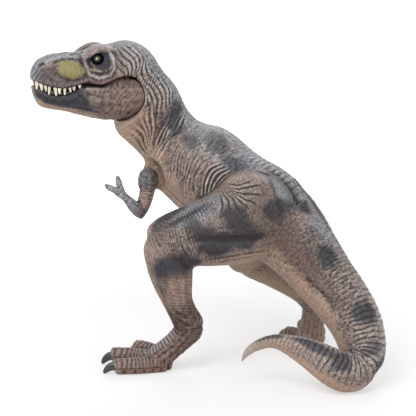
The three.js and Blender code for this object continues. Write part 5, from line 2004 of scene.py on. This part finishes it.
class TOYDINO_OT_studio(bpy.types.Operator):
    """Build the floor, the lamps and the camera"""

    bl_idname = "toydino.studio"
    bl_label = "Studio"

    def floor(self, context, settings):
        half = FLOOR_HALF
        mesh = bpy.data.meshes.new("floor")
        corners = [(-half, -half, 0), (half, -half, 0), (half, half, 0), (-half, half, 0)]
        mesh.from_pydata(corners, [], [(0, 1, 2, 3)])
        material, nodes, shader = new_material("pale_floor", 0.9, Specular_IOR_Level=0.0)
        place = nodes.place()
        light = rgba(min(1, c * 1.03) for c in settings.floor)
        tone = nodes.blend(nodes.noise(place, 3.0, 2.0), rgba(settings.floor), light)
        # The floor glows to white away from the toy, for the rays of the picture only.
        seen = nodes.seen()
        far = nodes.add("ShaderNodeVectorMath", {0: place}, operation="LENGTH")["Value"]
        glow = nodes.remap(far, 0.12, 0.5, 0.5, 1.0, kind="SMOOTHSTEP")
        sockets = {
            "Base Color": nodes.blend(seen, tone, FLOOR_GREY),
            "Emission Color": (1, 1, 1, 1),
            "Emission Strength": nodes.math("MULTIPLY", seen, glow),
        }
        nodes.feed(shader, sockets)
        mesh.materials.append(material)
        floor = bpy.data.objects.new("floor", mesh)
        context.scene.collection.objects.link(floor)

    def surround(self, context, settings):
        world = bpy.data.worlds.new("studio")
        context.scene.world = world
        world.use_nodes = True
        world.node_tree.nodes.clear()
        nodes = Nodes(world.node_tree)
        strength = nodes.remap(nodes.seen(), 0.0, 1.0, settings.surround, 1.0)
        light = {"Color": (1, 1, 1, 1), "Strength": strength}
        nodes.add("ShaderNodeOutputWorld", {"Surface": nodes.add("ShaderNodeBackground", light)[0]})

    def execute(self, context):
        settings = context.scene.toy_dinosaur.studio
        scene = context.scene
        self.floor(context, settings)
        self.surround(context, settings)
        for name, place, size, power in (
            ("key_lamp", (-0.55, -0.85, 1.25), 0.9, settings.key_power),
            ("fill_lamp", (0.4, -1.2, 0.35), 0.9, settings.fill_power),
            ("rear_lamp", (0.2, 1.1, 0.9), 0.8, settings.fill_power),
        ):
            lamp = bpy.data.lights.new(name, "AREA")
            lamp.energy = power
            lamp.size = size
            holder = bpy.data.objects.new(name, lamp)
            holder.location = place
            ahead = LAMPS_AIM - Vector(place)
            holder.rotation_euler = ahead.to_track_quat("-Z", "Y").to_euler()
            scene.collection.objects.link(holder)
        camera = bpy.data.cameras.new("camera")
        camera.sensor_width = 36
        camera.lens = CAMERA_LENS
        eye = bpy.data.objects.new("camera", camera)
        eye.location = CAMERA_PLACE
        ahead = Vector((0, math.cos(CAMERA_TILT), math.sin(CAMERA_TILT)))
        eye.rotation_euler = ahead.to_track_quat("-Z", "Y").to_euler()
        scene.collection.objects.link(eye)
        scene.camera = eye
        scene.view_settings.view_transform = "Standard"
        return {"FINISHED"}


class TOYDINO_PT_panel(bpy.types.Panel):
    """The toy's pieces and their settings"""

    bl_idname = "TOYDINO_PT_panel"
    bl_label = "Toy Dinosaur"
    bl_space_type = "VIEW_3D"
    bl_region_type = "UI"
    bl_category = "Toy Dinosaur"

    def draw(self, context):
        settings = context.scene.toy_dinosaur
        for operators, group in STEPS:
            box = self.layout.box()
            for operator in operators:
                box.operator(operator.bl_idname)
            if group:
                chosen = getattr(settings, group)
                for name in chosen.__annotations__:
                    box.prop(chosen, name)


STEPS = (
    ((TOYDINO_OT_studio,), "studio"),
    ((TOYDINO_OT_body_skin, TOYDINO_OT_jaw_skin, TOYDINO_OT_arm_skins), "skin"),
    ((TOYDINO_OT_teeth, TOYDINO_OT_tongue), "mouth"),
    ((TOYDINO_OT_claws,), "claws"),
    ((TOYDINO_OT_eyes,), "eyes"),
    ((TOYDINO_OT_jaw_pin,), None),
)
OPERATORS = tuple(itertools.chain.from_iterable(operators for operators, _ in STEPS))
SETTINGS = (SkinSettings, MouthSettings, ClawSettings, EyeSettings, StudioSettings, ToySettings)
CLASSES = SETTINGS + OPERATORS + (TOYDINO_PT_panel,)


def register():
    for made in CLASSES:
        bpy.utils.register_class(made)
    bpy.types.Scene.toy_dinosaur = PointerProperty(type=ToySettings)


def unregister():
    del bpy.types.Scene.toy_dinosaur
    for made in reversed(CLASSES):
        bpy.utils.unregister_class(made)


def main():
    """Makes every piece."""
    register()
    bpy.ops.toydino.studio()
    bpy.ops.toydino.body_skin()
    bpy.ops.toydino.jaw_skin()
    bpy.ops.toydino.arm_skins()
    bpy.ops.toydino.teeth()
    bpy.ops.toydino.tongue()
    bpy.ops.toydino.claws()
    bpy.ops.toydino.eyes()
    bpy.ops.toydino.jaw_pin()
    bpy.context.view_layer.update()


if __name__ == "__main__":
    main()
